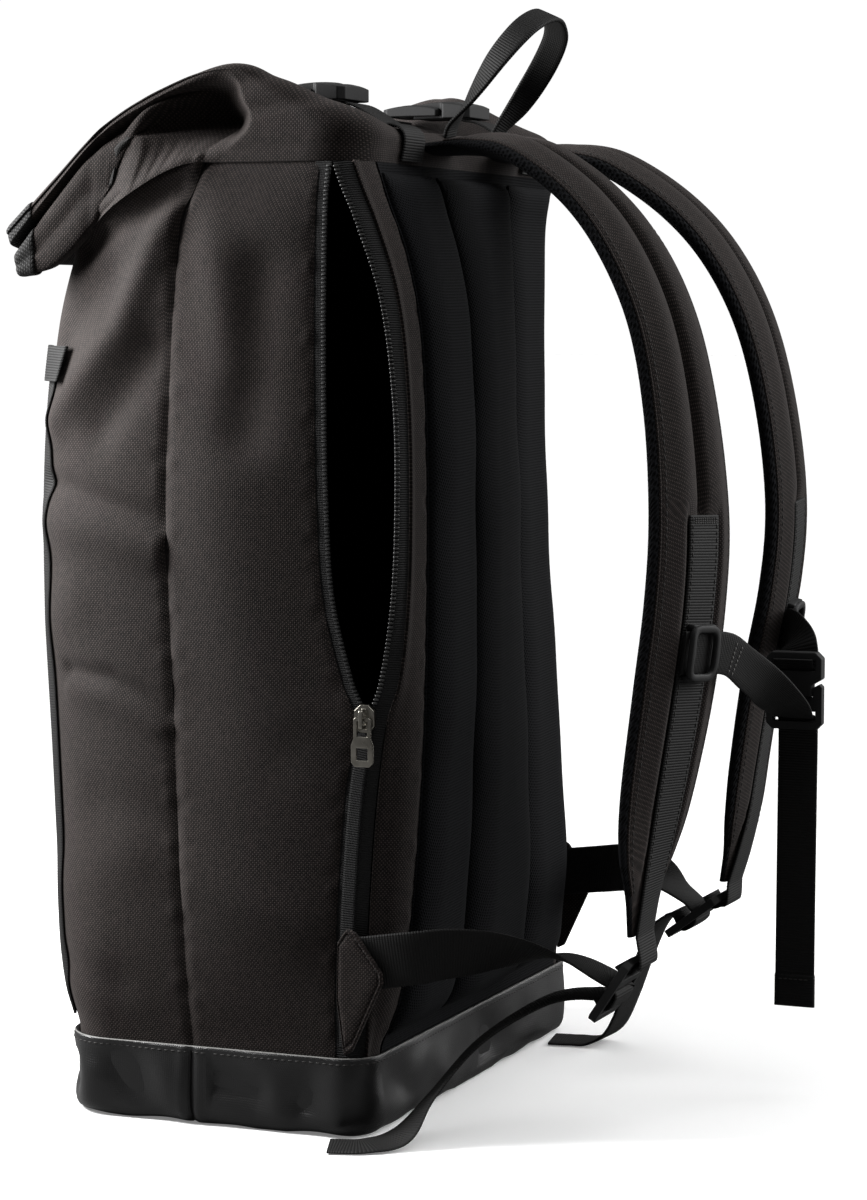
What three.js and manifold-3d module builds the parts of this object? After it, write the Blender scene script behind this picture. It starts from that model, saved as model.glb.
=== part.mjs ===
// Upright daypack with a fold-down top, an open side zip and padded shoulder straps.
// Sizes in millimetres. X runs across the bag, +Y points to the wearer, +Z is up.
import * as THREE from "three";
import { mergeVertices } from "three/addons/utils/BufferGeometryUtils.js";
import Module from "manifold-3d";

// Overall sizes
const BASE_WIDTH = 280;
const BASE_DEPTH = 165;
const BAND_HEIGHT = 38;
const BASE_FRONT_RADIUS = 30;
const BASE_REAR_RADIUS = 18;

// Cloth and clearances
const CLEAR = 0.3;
const CLOTH = 2;
const BAND_CLOTH = 2.2;
const PAD_EDGE = 118;
const MITRE_LIMIT = 0.5;

// Base tray: rounded foot outside, then the same rows back down inside the band
const TRAY_ROWS = [
  { z: 0, inset: 3 },
  { z: 3, inset: 0.6 },
  { z: 7, inset: 0 },
  { z: BAND_HEIGHT, inset: 0 },
  { z: BAND_HEIGHT, inset: BAND_CLOTH },
  { z: BAND_CLOTH + 3, inset: BAND_CLOTH },
  { z: BAND_CLOTH, inset: BAND_CLOTH + 3 },
];

// Body: one row for each height. half is the half width, front and back are the faces, gape is how far the
// right edge of the back stands off behind the open zip, bow is the bulge of the front.
const BODY_ROWS = [
  { z: 28, half: 137.4, front: -80, back: 80, gape: 0, bow: 0, frontRadius: 28, backRadius: 22 },
  { z: 40, half: 137.4, front: -80, back: 80, gape: 0, bow: 0, frontRadius: 28, backRadius: 22 },
  { z: 62, half: 139.6, front: -88, back: 82, gape: 7, bow: 3, frontRadius: 34, backRadius: 24 },
  { z: 100, half: 141, front: -94, back: 84, gape: 11, bow: 5, frontRadius: 40, backRadius: 26 },
  { z: 175, half: 142.4, front: -99, back: 80, gape: 21, bow: 7, frontRadius: 45, backRadius: 26 },
  { z: 245, half: 143, front: -102, back: 75, gape: 28, bow: 8, frontRadius: 45, backRadius: 26 },
  { z: 317, half: 143, front: -101, back: 72, gape: 31, bow: 8, frontRadius: 45, backRadius: 26 },
  { z: 375, half: 142, front: -95, back: 71, gape: 29, bow: 6, frontRadius: 45, backRadius: 26 },
  { z: 410, half: 140.6, front: -85, back: 71, gape: 22, bow: 3, frontRadius: 42, backRadius: 26 },
  { z: 434, half: 139.4, front: -73, back: 73, gape: 11, bow: 1, frontRadius: 36, backRadius: 26 },
  { z: 452, half: 138, front: -60, back: 78, gape: 0, bow: 0, frontRadius: 30, backRadius: 26 },
];

// Right side: front seam and the two rows of zip teeth
const SIDE_ROWS = [
  { z: 28, seam: -9, frontTeeth: 70, backTeeth: 70 },
  { z: 83, seam: -12, frontTeeth: 72, backTeeth: 72 },
  { z: 113, seam: -13, frontTeeth: 73.5, backTeeth: 73.5 },
  { z: 160, seam: -15, frontTeeth: 77.5, backTeeth: 77.5 },
  { z: 197, seam: -16, frontTeeth: 83, backTeeth: 83 },
  { z: 214, seam: -16.5, frontTeeth: 76.5, backTeeth: 89 },
  { z: 252, seam: -18, frontTeeth: 67, backTeeth: 95 },
  { z: 297, seam: -19, frontTeeth: 64, backTeeth: 97 },
  { z: 340, seam: -17.5, frontTeeth: 63, backTeeth: 96 },
  { z: 389, seam: -15, frontTeeth: 62.5, backTeeth: 89 },
  { z: 425, seam: -11, frontTeeth: 62.5, backTeeth: 76 },
  { z: 440, seam: -5, frontTeeth: 63, backTeeth: 69 },
  { z: 452, seam: 0, frontTeeth: 64, backTeeth: 64 },
];
const PANEL_HEIGHTS = [28, 40, 62, 83, 113, 160, 197, 214, 232, 252, 297, 340, 375, 405, 425, 440, 451.7];
const TAPE_WIDTH = 9.5;
const TAPE_CLOTH = 1.2;
const TEETH_GAP = 0.9;
const TAPE_FOOT = 44;
const TAPE_SEAT = 0.6;
const GUSSET_BEND_IN = 3;
const GUSSET_BEND_BACK = 2;
const LEFT_BEND = 1;

// Steps along each stretch of the outline
const SIDE_STEPS = 2;
const CORNER_STEPS = 4;
const FRONT_STEPS = 6;
const LEFT_STEPS = 3;
const BACK_STATIONS = [-118, -84, -50, -25, 0, 25, 50, 84, 118];
const GUSSET_STEPS = 3;

// Back pads
const PADS = [
  { name: "back_pad_left", from: -116.5, to: -52.5 },
  { name: "back_pad_center", from: -47.5, to: 47.5 },
  { name: "back_pad_right", from: 52.5, to: 116.5 },
];
const PAD_THICK = 8;
const PAD_EDGE_THICK = 2;
const PAD_STEPS = 6;
const PAD_LOW = 46;
const PAD_HIGH = 440;
const PAD_RISE = 25;

// Roll top: one row for each fold from the seam to the mouth. back is the wall nearest the wearer, front the
// wall nearest the front. sag and dip are how far the straps pull the back and the front wall down between
// the ends, tuck is how deep the ends fold in.
const ROLL_ROWS = [
  { backY: 78, backZ: 452, frontY: -60, frontZ: 452, half: 138, sag: 0, dip: 0, tuck: 0, round: 26 },
  { backY: 77, backZ: 472, frontY: -55, frontZ: 460, half: 137, sag: 4, dip: 4, tuck: 1, round: 18 },
  { backY: 46, backZ: 486, frontY: -52, frontZ: 465, half: 136, sag: 16, dip: 8, tuck: 4, round: 11 },
  { backY: 15, backZ: 497, frontY: -51, frontZ: 467, half: 136, sag: 18, dip: 9, tuck: 11, round: 8 },
  { backY: -20, backZ: 488, frontY: -53, frontZ: 464, half: 136, sag: 12, dip: 7, tuck: 16, round: 6 },
  { backY: -53, backZ: 471, frontY: -62, frontZ: 455, half: 136, sag: 6, dip: 2, tuck: 16, round: 4.5 },
  { backY: -80, backZ: 447, frontY: -82, frontZ: 432, half: 135, sag: 2, dip: 0, tuck: 14, round: 4 },
  { backY: -107, backZ: 422, frontY: -101, frontZ: 407, half: 133, sag: 1, dip: 0, tuck: 12, round: 4 },
];
const ROLL_CLOTH = 2;
const ROLL_SIDE_STEPS = 4;
const HEM_START = 6.45;
const HEM_CLOTH = 1.2;
const HEM_TUCK_SHARE = 0.5;

// Webbing
const WEB_WIDTH = 25;
const WEB_THICK = 1.5;
const TOP_STRAP_X = 80;
const TOP_STRAP_FLAT = 14;
const TOP_STRAP_LIFT = 0.5;
const TOP_FRONT_FOLDS = [6.38, 6, 5.6, 5, 4.6, 4];
const TOP_REAR_FOLDS = [1.25, 1.08, 1, 0.92, 0.5, 0.12];
const ROOF_STEP = 0.02;
const TOP_FRONT_REACH = 5;
const TOP_REAR_REACH = 4;
const TOP_REAR_DROP = 2;
const TOP_SLOT_PAST = 1;
const LOOP_WIDTH = 13;
const LOOP_THICK = 2.2;
const STERNUM_WIDTH = 20;
const STERNUM_THICK = 1.4;

// Top buckles
const BUCKLE_WIDTH = 34;
const BUCKLE_THICK = 9;
const SOCKET_LENGTH = 32;
const PLUG_LENGTH = 16;
const BUCKLE_BAR = 4;
const BUCKLE_SLOT = 5;
const BUCKLE_PRONG = 5;
const BUCKLE_PRONG_REACH = 18;
const BUCKLE_FRONT_Y = 4;
const BUCKLE_UNDERSIDE = 482.4;
const BUCKLE_CORNER = 3;
const BUCKLE_SLOT_PLAY = 1.5;
const PLUG_RECESS = 1.2;
const PRONG_TIP_IN = 1.4;
const PRONG_TIP = 2.6;
const PRONG_SHOULDER = 4;
const PRONG_ROOT = 4.4;

// Haul loop: right leg from the seam to the top of the loop, with the direction across the webbing
const HAUL_ROWS = [
  { x: 30, y: 78.7, z: 467.4, crossX: 1, crossY: 0, crossZ: 0 },
  { x: 31, y: 81.6, z: 474, crossX: 1, crossY: 0.1, crossZ: 0 },
  { x: 33, y: 92, z: 487, crossX: 0.8, crossY: 0.6, crossZ: -0.2 },
  { x: 32, y: 104, z: 504, crossX: 0.4, crossY: 0.9, crossZ: -0.4 },
  { x: 25, y: 113, z: 517, crossX: 0.15, crossY: 1, crossZ: -0.45 },
  { x: 13, y: 117, z: 524, crossX: 0.05, crossY: 1, crossZ: -0.45 },
  { x: 0, y: 118.5, z: 526.5, crossX: 0, crossY: 1, crossZ: -0.45 },
];

// Shoulder strap, right one, from the bag to the lower tip: centre line, half width, half thickness and how
// far its face turns outward in degrees. leftReach is how much farther back the left strap hangs.
const STRAP_ROWS = [
  { x: 44, y: 77.9, z: 461, half: 22, thick: 3.4, turn: 0, leftReach: 0 },
  { x: 44.4, y: 96, z: 461.6, half: 25, thick: 4.4, turn: 0, leftReach: 0 },
  { x: 49, y: 114, z: 460, half: 28, thick: 5.4, turn: 2, leftReach: 0 },
  { x: 57, y: 135, z: 454.5, half: 30, thick: 6.2, turn: 5, leftReach: 0 },
  { x: 62.5, y: 163, z: 435.5, half: 30, thick: 6.6, turn: 8, leftReach: 0 },
  { x: 66, y: 184, z: 411, half: 30, thick: 6.8, turn: 11, leftReach: 1 },
  { x: 68.5, y: 200, z: 378, half: 30, thick: 6.8, turn: 12, leftReach: 2 },
  { x: 70.5, y: 209.5, z: 337, half: 31, thick: 6.8, turn: 13, leftReach: 3 },
  { x: 73, y: 214.5, z: 290, half: 33, thick: 6.8, turn: 14, leftReach: 3 },
  { x: 75, y: 213.5, z: 250, half: 34, thick: 6.8, turn: 14, leftReach: 1 },
  { x: 77, y: 208.5, z: 206, half: 34, thick: 6.6, turn: 14, leftReach: -3 },
  { x: 79, y: 201.5, z: 160, half: 33, thick: 6, turn: 11, leftReach: -3 },
  { x: 80, y: 197.5, z: 134, half: 30, thick: 5, turn: 6, leftReach: -2 },
  { x: 80.5, y: 195, z: 113, half: 20, thick: 3.4, turn: 1, leftReach: -3 },
  { x: 80, y: 193, z: 96, half: 13.4, thick: 2.4, turn: 0, leftReach: -5 },
];
const STRAP_STEPS = 28;
const LEFT_TURN_SHARE = 0.35;
const STRAP_FLAT = 13.2;
const STRAP_EDGE = 0.4;
const STRAP_SHOULDER = 0.72;
const STRAP_SHOULDER_RISE = 0.8;
const STRAP_WEB_START = 16;
const STRAP_WEB_LIFT = 0.4;

// Ladder locks: upper edge and the slope of each lock's length, then bars and slots
const LOCK_X = 80;
const LOCKS = {
  right: { topY: 194, topZ: 84, runY: -0.548, runZ: -0.836 },
  left: { topY: 187, topZ: 88, runY: -0.8, runZ: -0.6 },
};
const LOCK_WIDTH = 34;
const LOCK_SLOT_WIDTH = 27;
const LOCK_THICK = 4;
const LOCK_BAR = 4;
const LOCK_SLOT = 6;
const LOCK_SLOTS = 3;
const LOCK_CORNER = 2.5;
const STRAP_WEB_END = [
  { run: -1.4, rise: 4.4 },
  { run: 2.2, rise: 3.6 },
  { run: 5.4, rise: 2.6 },
  { run: 7, rise: 0 },
  { run: 6.6, rise: -5 },
];
const LOCK_WEAVE = [
  { run: 17, rise: -7 },
  { run: 17, rise: 0 },
  { run: 18.2, rise: 2.9 },
  { run: 22, rise: 3.6 },
  { run: 25.8, rise: 2.9 },
  { run: 27, rise: 0 },
  { run: 27, rise: -7 },
];

// Lower webbing from the wing to the ladder lock: the cross columns give the direction across the webbing
const LOWER_ROWS_RIGHT = [
  { x: 142.6, y: 86, z: 84, crossX: 0, crossY: -0.3, crossZ: 0.95 },
  { x: 139, y: 101, z: 87, crossX: 0.05, crossY: -0.1, crossZ: 1 },
  { x: 127, y: 121, z: 89, crossX: 0.3, crossY: 0, crossZ: 0.95 },
  { x: 111, y: 143, z: 88, crossX: 0.8, crossY: 0, crossZ: 0.6 },
  { x: 94, y: 163, z: 83, crossX: 1, crossY: 0, crossZ: 0.15 },
];
const LOWER_ROWS_LEFT = [
  { x: 142.6, y: 86, z: 84, crossX: 0, crossY: -0.3, crossZ: 0.95 },
  { x: 138, y: 101, z: 87, crossX: 0.05, crossY: -0.1, crossZ: 1 },
  { x: 123, y: 119, z: 91, crossX: 0.3, crossY: 0, crossZ: 0.95 },
  { x: 104, y: 136, z: 93, crossX: 0.8, crossY: 0, crossZ: 0.6 },
  { x: 88, y: 152, z: 91, crossX: 1, crossY: 0, crossZ: 0.15 },
];
const TAIL_ROWS_RIGHT = [
  { x: 92, y: 153, z: 63, crossX: 1, crossY: 0.25, crossZ: 0 },
  { x: 108, y: 126, z: 45, crossX: 1, crossY: 0.4, crossZ: 0.1 },
  { x: 125, y: 108, z: 21, crossX: 1, crossY: 0.5, crossZ: 0.15 },
  { x: 140, y: 98, z: 4.4, crossX: 0.75, crossY: 0.65, crossZ: 0 },
  { x: 152, y: 86, z: 1.4, crossX: 0.85, crossY: 0.5, crossZ: 0 },
  { x: 158, y: 70, z: 1.2, crossX: 1, crossY: 0.15, crossZ: 0 },
];
const TAIL_ROWS_LEFT = [
  { x: 84, y: 150, z: 69, crossX: 1, crossY: 0.1, crossZ: 0 },
  { x: 90, y: 140, z: 50, crossX: 1, crossY: 0.1, crossZ: 0 },
  { x: 96, y: 130, z: 27, crossX: 1, crossY: 0.1, crossZ: 0 },
  { x: 101, y: 120, z: 9, crossX: 1, crossY: 0.1, crossZ: 0 },
  { x: 102, y: 109, z: 2, crossX: 1, crossY: 0.05, crossZ: 0 },
  { x: 101, y: 98, z: 1.2, crossX: 1, crossY: 0, crossZ: 0 },
  { x: 99, y: 86, z: 1.2, crossX: 1, crossY: 0, crossZ: 0 },
];
const RIBBON_STEPS = 3;

// Strap wing: corners of the triangular tab on the right side
const WING_CORNERS = [
  { y: 64, z: 92 },
  { y: 74, z: 99 },
  { y: 88, z: 97.5 },
  { y: 95, z: 74 },
  { y: 72, z: 41 },
  { y: 64, z: 41 },
];
const WING_X = 144.2;
const WING_THICK = 2.2;

// Sternum slider and straps
const SLIDER_STATION = 19;
const SLIDER_LENGTH = 26;
const SLIDER_WIDTH = 28;
const SLIDER_FOOT = 2.8;
const SLIDER_PLATE = 3;
const SLIDER_RAIL = 2.4;
const SLIDER_CORNER = 1.5;
const STERNUM_RIGHT_ROWS = [
  { x: 52, y: 227, z: 226.5, crossX: 0, crossY: 0.1, crossZ: 1 },
  { x: 36, y: 233, z: 222, crossX: 0.1, crossY: 0.1, crossZ: 1 },
  { x: 14, y: 239, z: 211, crossX: 0.3, crossY: 0.3, crossZ: 0.9 },
  { x: -4, y: 240.5, z: 199.5, crossX: 0.4, crossY: 0.75, crossZ: 0.5 },
  { x: -18, y: 238.5, z: 190.5, crossX: 0.2, crossY: 1, crossZ: 0.1 },
  { x: -26.5, y: 236.6, z: 187.2, crossX: 0, crossY: 1, crossZ: 0 },
  { x: -32, y: 236, z: 186.9, crossX: 0, crossY: 1, crossZ: 0 },
  { x: -36.8, y: 236, z: 184.6, crossX: 0, crossY: 1, crossZ: 0 },
  { x: -37.8, y: 236, z: 176, crossX: 0, crossY: 1, crossZ: 0 },
  { x: -38, y: 235.8, z: 150, crossX: 0, crossY: 1, crossZ: 0 },
  { x: -37.5, y: 235.6, z: 95, crossX: 0, crossY: 1, crossZ: 0 },
  { x: -37.5, y: 235.4, z: 42, crossX: 0, crossY: 1, crossZ: 0 },
];
const STERNUM_LEFT_ROWS = [
  { x: -54, y: 226, z: 227.4, crossX: 0, crossY: 0.15, crossZ: 1 },
  { x: -45, y: 231, z: 226, crossX: 0.2, crossY: 0.6, crossZ: 0.8 },
  { x: -39, y: 235, z: 221.4, crossX: 0.1, crossY: 1, crossZ: 0.2 },
  { x: -37, y: 236.2, z: 215.4, crossX: 0, crossY: 1, crossZ: 0 },
  { x: -34.6, y: 236, z: 211.9, crossX: 0, crossY: 1, crossZ: 0 },
  { x: -29.4, y: 236, z: 211.9, crossX: 0, crossY: 1, crossZ: 0 },
  { x: -27, y: 236, z: 215, crossX: 0, crossY: 1, crossZ: 0 },
];
const STERNUM_BUCKLE_X = -32;
const STERNUM_BUCKLE_Y = 236;
const STERNUM_BUCKLE_TOP = 218.4;
const STERNUM_BUCKLE_WIDTH = 28;
const STERNUM_BUCKLE_THICK = 7;
const STERNUM_SOCKET_LENGTH = 22;
const STERNUM_PLUG_LENGTH = 16;
const STERNUM_PLUG_RECESS = 1;
const STERNUM_PRONG_REACH = 9;

// Zip slider and puller
const ZIP_SLIDER_Z = 198;
const ZIP_BODY_WIDTH = 10;
const ZIP_BODY_LENGTH = 13;
const ZIP_BODY_THICK = 3;
const ZIP_ARCH_REACH = 4.6;
const ZIP_ARCH_LENGTH = 9;
const ZIP_ARCH_BAR = 1.5;
const ZIP_ARCH_WIDTH = 2;
const ZIP_ARCH_ROOT = 0.5;
const ZIP_ARCH_CORNER = 0.8;
const ZIP_CORNER = 3;
const PULLER_WIDTH = 11;
const PULLER_LENGTH = 22;
const PULLER_THICK = 1.6;
const PULLER_PIN = 1.8;
const PULLER_EYE_WIDTH = 5;
const PULLER_EYE_LENGTH = 7;
const PULLER_SLOT_WIDTH = 5.5;
const PULLER_SLOT_LENGTH = 5.5;
const PULLER_LIFT = 1.7;
const PULLER_NECK_IN = 1.2;
const PULLER_NECK_LENGTH = 9;
const PULLER_SHOULDER = 12;
const PULLER_CORNER = 2;
const PULLER_EYE_CORNER = 1;
const PULLER_FOOT = 3.2;

// Front webbing and its tab
const FRONT_WEB_WIDTH = 20;
const FRONT_WEB_LOW = 46;
const FRONT_WEB_HIGH = 362;
const FRONT_WEB_LIFT = 0.5;
const FRONT_WEB_ANGLE = (-3 * Math.PI) / 8;
const FRONT_TAB_WIDTH = 25;
const FRONT_TAB_LOW = 349;
const FRONT_TAB_HIGH = 367;
const FRONT_TAB_THICK = 2.4;

const wasm = await Module();
wasm.setup();

const clothColor = 0x2b2624;
const webColor = 0x191817;
const meshColor = 0x17181c;
const coatedColor = 0x2c2c2d;
const plasticColor = 0x161617;
const metalColor = 0x8a857a;
const surfaces = {
  cloth: new THREE.MeshStandardMaterial({ name: "cloth", color: clothColor, roughness: 0.9, metalness: 0 }),
  webbing: new THREE.MeshStandardMaterial({ name: "webbing", color: webColor, roughness: 0.8, metalness: 0 }),
  mesh: new THREE.MeshStandardMaterial({ name: "mesh", color: meshColor, roughness: 0.95, metalness: 0 }),
  coated: new THREE.MeshStandardMaterial({ name: "coated", color: coatedColor, roughness: 0.45, metalness: 0 }),
  plastic: new THREE.MeshStandardMaterial({ name: "plastic", color: plasticColor, roughness: 0.4, metalness: 0 }),
  metal: new THREE.MeshStandardMaterial({ name: "metal", color: metalColor, roughness: 0.4, metalness: 1 }),
};
const backpack = new THREE.Group();
backpack.name = "backpack";

function addPiece(name, geometry, material) {
  const mesh = new THREE.Mesh(geometry, material);
  mesh.name = name;
  backpack.add(mesh);
}

// A smooth value from a table of rows
function fromRows(rows, along, key, at) {
  const last = rows.length - 1;
  let index = 0;
  while (index < last - 1 && rows[index + 1][along] < at) {
    index += 1;
  }
  const low = rows[index];
  const high = rows[index + 1];
  const span = high[along] - low[along];
  const share = THREE.MathUtils.clamp((at - low[along]) / span, 0, 1);
  const before = rows[Math.max(index - 1, 0)];
  const after = rows[Math.min(index + 2, last)];
  const slopeLow = ((high[key] - before[key]) / (high[along] - before[along])) * span;
  const slopeHigh = ((after[key] - low[key]) / (after[along] - low[along])) * span;
  const square = share * share;
  const cube = square * share;
  const fromLow = (2 * cube - 3 * square + 1) * low[key] + (cube - 2 * square + share) * slopeLow;
  const fromHigh = (3 * square - 2 * cube) * high[key] + (cube - square) * slopeHigh;
  return fromLow + fromHigh;
}

function counted(rows) {
  return rows.map((row, step) => ({ ...row, step }));
}

function straight(low, high, share) {
  return low + (high - low) * share;
}

// Closed solids from rings and grids of points
function closedSolid(points, faces) {
  let volume = 0;
  for (const [a, b, c] of faces) {
    volume += points[a].dot(new THREE.Vector3().crossVectors(points[b], points[c]));
  }
  const facing = volume < 0 ? faces.map(([a, b, c]) => [a, c, b]) : faces;
  const geometry = new THREE.BufferGeometry();
  const flat = points.flatMap((point) => [point.x, point.y, point.z]);
  geometry.setAttribute("position", new THREE.Float32BufferAttribute(flat, 3));
  geometry.setIndex(facing.flat());
  return geometry;
}

function quad(faces, a, b, c, d) {
  faces.push([a, b, c]);
  faces.push([a, c, d]);
}

function loft(rings) {
  const count = rings[0].length;
  const points = rings.flat();
  const faces = [];
  for (let ring = 0; ring < rings.length - 1; ring += 1) {
    for (let index = 0; index < count; index += 1) {
      const next = (index + 1) % count;
      const low = ring * count;
      const high = low + count;
      quad(faces, low + index, low + next, high + next, high + index);
    }
  }
  for (const ring of [0, rings.length - 1]) {
    const centre = new THREE.Vector3();
    rings[ring].forEach((point) => centre.addScaledVector(point, 1 / count));
    const hub = points.push(centre) - 1;
    for (let index = 0; index < count; index += 1) {
      const here = ring * count + index;
      const next = ring * count + ((index + 1) % count);
      faces.push(ring === 0 ? [hub, next, here] : [hub, here, next]);
    }
  }
  return closedSolid(points, faces);
}

function slab(outer, inner) {
  const rows = outer.length;
  const columns = outer[0].length;
  const points = [...outer.flat(), ...inner.flat()];
  const faces = [];
  const front = (row, column) => row * columns + column;
  const rear = (row, column) => rows * columns + front(row, column);
  for (let row = 0; row < rows - 1; row += 1) {
    for (let column = 0; column < columns - 1; column += 1) {
      const right = column + 1;
      const up = row + 1;
      quad(faces, front(row, column), front(row, right), front(up, right), front(up, column));
      quad(faces, rear(row, column), rear(up, column), rear(up, right), rear(row, right));
    }
    const end = columns - 1;
    quad(faces, front(row, 0), front(row + 1, 0), rear(row + 1, 0), rear(row, 0));
    quad(faces, front(row, end), rear(row, end), rear(row + 1, end), front(row + 1, end));
  }
  for (let column = 0; column < columns - 1; column += 1) {
    const top = rows - 1;
    quad(faces, front(0, column), rear(0, column), rear(0, column + 1), front(0, column + 1));
    quad(faces, front(top, column), front(top, column + 1), rear(top, column + 1), rear(top, column));
  }
  return closedSolid(points, faces);
}

function openTube(outer, inner) {
  const rows = outer.length;
  const count = outer[0].length;
  const points = [...outer.flat(), ...inner.flat()];
  const faces = [];
  const out = (row, index) => row * count + (index % count);
  const into = (row, index) => rows * count + out(row, index);
  for (let index = 0; index < count; index += 1) {
    const next = index + 1;
    for (let row = 0; row < rows - 1; row += 1) {
      quad(faces, out(row, index), out(row, next), out(row + 1, next), out(row + 1, index));
      quad(faces, into(row, index), into(row + 1, index), into(row + 1, next), into(row, next));
    }
    quad(faces, out(0, index), into(0, index), into(0, next), out(0, next));
    quad(faces, out(rows - 1, index), out(rows - 1, next), into(rows - 1, next), into(rows - 1, index));
  }
  return closedSolid(points, faces);
}

function toManifold(geometry) {
  const bare = geometry.clone();
  bare.deleteAttribute("normal");
  bare.deleteAttribute("uv");
  const merged = mergeVertices(bare, 1e-4);
  const vertProperties = new Float32Array(merged.attributes.position.array);
  const triVerts = new Uint32Array(merged.index.array);
  return new wasm.Manifold(new wasm.Mesh({ numProp: 3, vertProperties, triVerts }));
}

function joined(geometries) {
  let body = toManifold(geometries[0]);
  for (const other of geometries.slice(1)) {
    body = body.add(toManifold(other));
  }
  const mesh = body.getMesh();
  const geometry = new THREE.BufferGeometry();
  geometry.setAttribute("position", new THREE.Float32BufferAttribute(Array.from(mesh.vertProperties), 3));
  geometry.setIndex(Array.from(mesh.triVerts));
  return geometry;
}

function mirrored(geometry) {
  const copy = geometry.clone();
  copy.scale(-1, 1, 1);
  const index = Array.from(copy.index.array);
  const turned = [];
  for (let start = 0; start < index.length; start += 3) {
    turned.push(index[start], index[start + 2], index[start + 1]);
  }
  copy.setIndex(turned);
  return copy;
}

// Places a flat plate upright, facing the wearer's right
function facingRight(x, y, z) {
  const placed = new THREE.Matrix4().makeBasis(
    new THREE.Vector3(0, 1, 0),
    new THREE.Vector3(0, 0, 1),
    new THREE.Vector3(1, 0, 0),
  );
  placed.setPosition(new THREE.Vector3(x, y, z));
  return placed;
}

// Webbing: a flat ribbon along stations that give the centre and the directions across and out
function ribbon(stations, width, thick) {
  const corners = [
    { side: -0.5, out: -0.5 },
    { side: 0.5, out: -0.5 },
    { side: 0.5, out: 0.5 },
    { side: -0.5, out: 0.5 },
  ];
  const rings = stations.map((station) => corners.map(({ side, out }) => {
    const point = station.centre.clone();
    point.addScaledVector(station.across, side * width);
    return point.addScaledVector(station.out, out * thick);
  }));
  return loft(rings);
}

function stationsAlong(rows, steps) {
  const table = counted(rows);
  const count = (rows.length - 1) * steps;
  const centres = [];
  for (let index = 0; index <= count; index += 1) {
    const at = index / steps;
    const centre = ["x", "y", "z"].map((key) => fromRows(table, "step", key, at));
    const cross = ["crossX", "crossY", "crossZ"].map((key) => fromRows(table, "step", key, at));
    centres.push({ centre: new THREE.Vector3(...centre), cross: new THREE.Vector3(...cross) });
  }
  return centres.map(({ centre, cross }, index) => {
    const before = centres[Math.max(index - 1, 0)].centre;
    const after = centres[Math.min(index + 1, count)].centre;
    const along = after.clone().sub(before).normalize();
    const across = cross.clone().addScaledVector(along, -cross.dot(along)).normalize();
    const out = new THREE.Vector3().crossVectors(along, across).normalize();
    return { centre, across, out };
  });
}

// Outline of the body at one height, from the zip round the front and the left side to the back and gusset
function backAt(x, z) {
  const share = THREE.MathUtils.smoothstep(x, -PAD_EDGE, PAD_EDGE);
  return fromRows(BODY_ROWS, "z", "back", z) + fromRows(BODY_ROWS, "z", "gape", z) * share;
}

function backFacet(x, z) {
  let index = 0;
  while (index < BACK_STATIONS.length - 2 && BACK_STATIONS[index + 1] < x) {
    index += 1;
  }
  const low = BACK_STATIONS[index];
  const high = BACK_STATIONS[index + 1];
  return straight(backAt(low, z), backAt(high, z), (x - low) / (high - low));
}

function cornerArc(centreX, centreY, radius, startAngle, endAngle, steps) {
  const points = [];
  for (let step = 0; step <= steps; step += 1) {
    const angle = straight(startAngle, endAngle, step / steps);
    points.push(new THREE.Vector2(centreX + radius * Math.cos(angle), centreY + radius * Math.sin(angle)));
  }
  return points;
}

function rearCorner(z) {
  const half = fromRows(BODY_ROWS, "z", "half", z);
  const edge = new THREE.Vector2(PAD_EDGE, backAt(PAD_EDGE, z));
  const teeth = new THREE.Vector2(half, fromRows(SIDE_ROWS, "z", "backTeeth", z) + TEETH_GAP / 2);
  const bend = new THREE.Vector2(half - GUSSET_BEND_IN, Math.max(edge.y - GUSSET_BEND_BACK, teeth.y));
  return new THREE.QuadraticBezierCurve(edge, bend, teeth);
}

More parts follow.
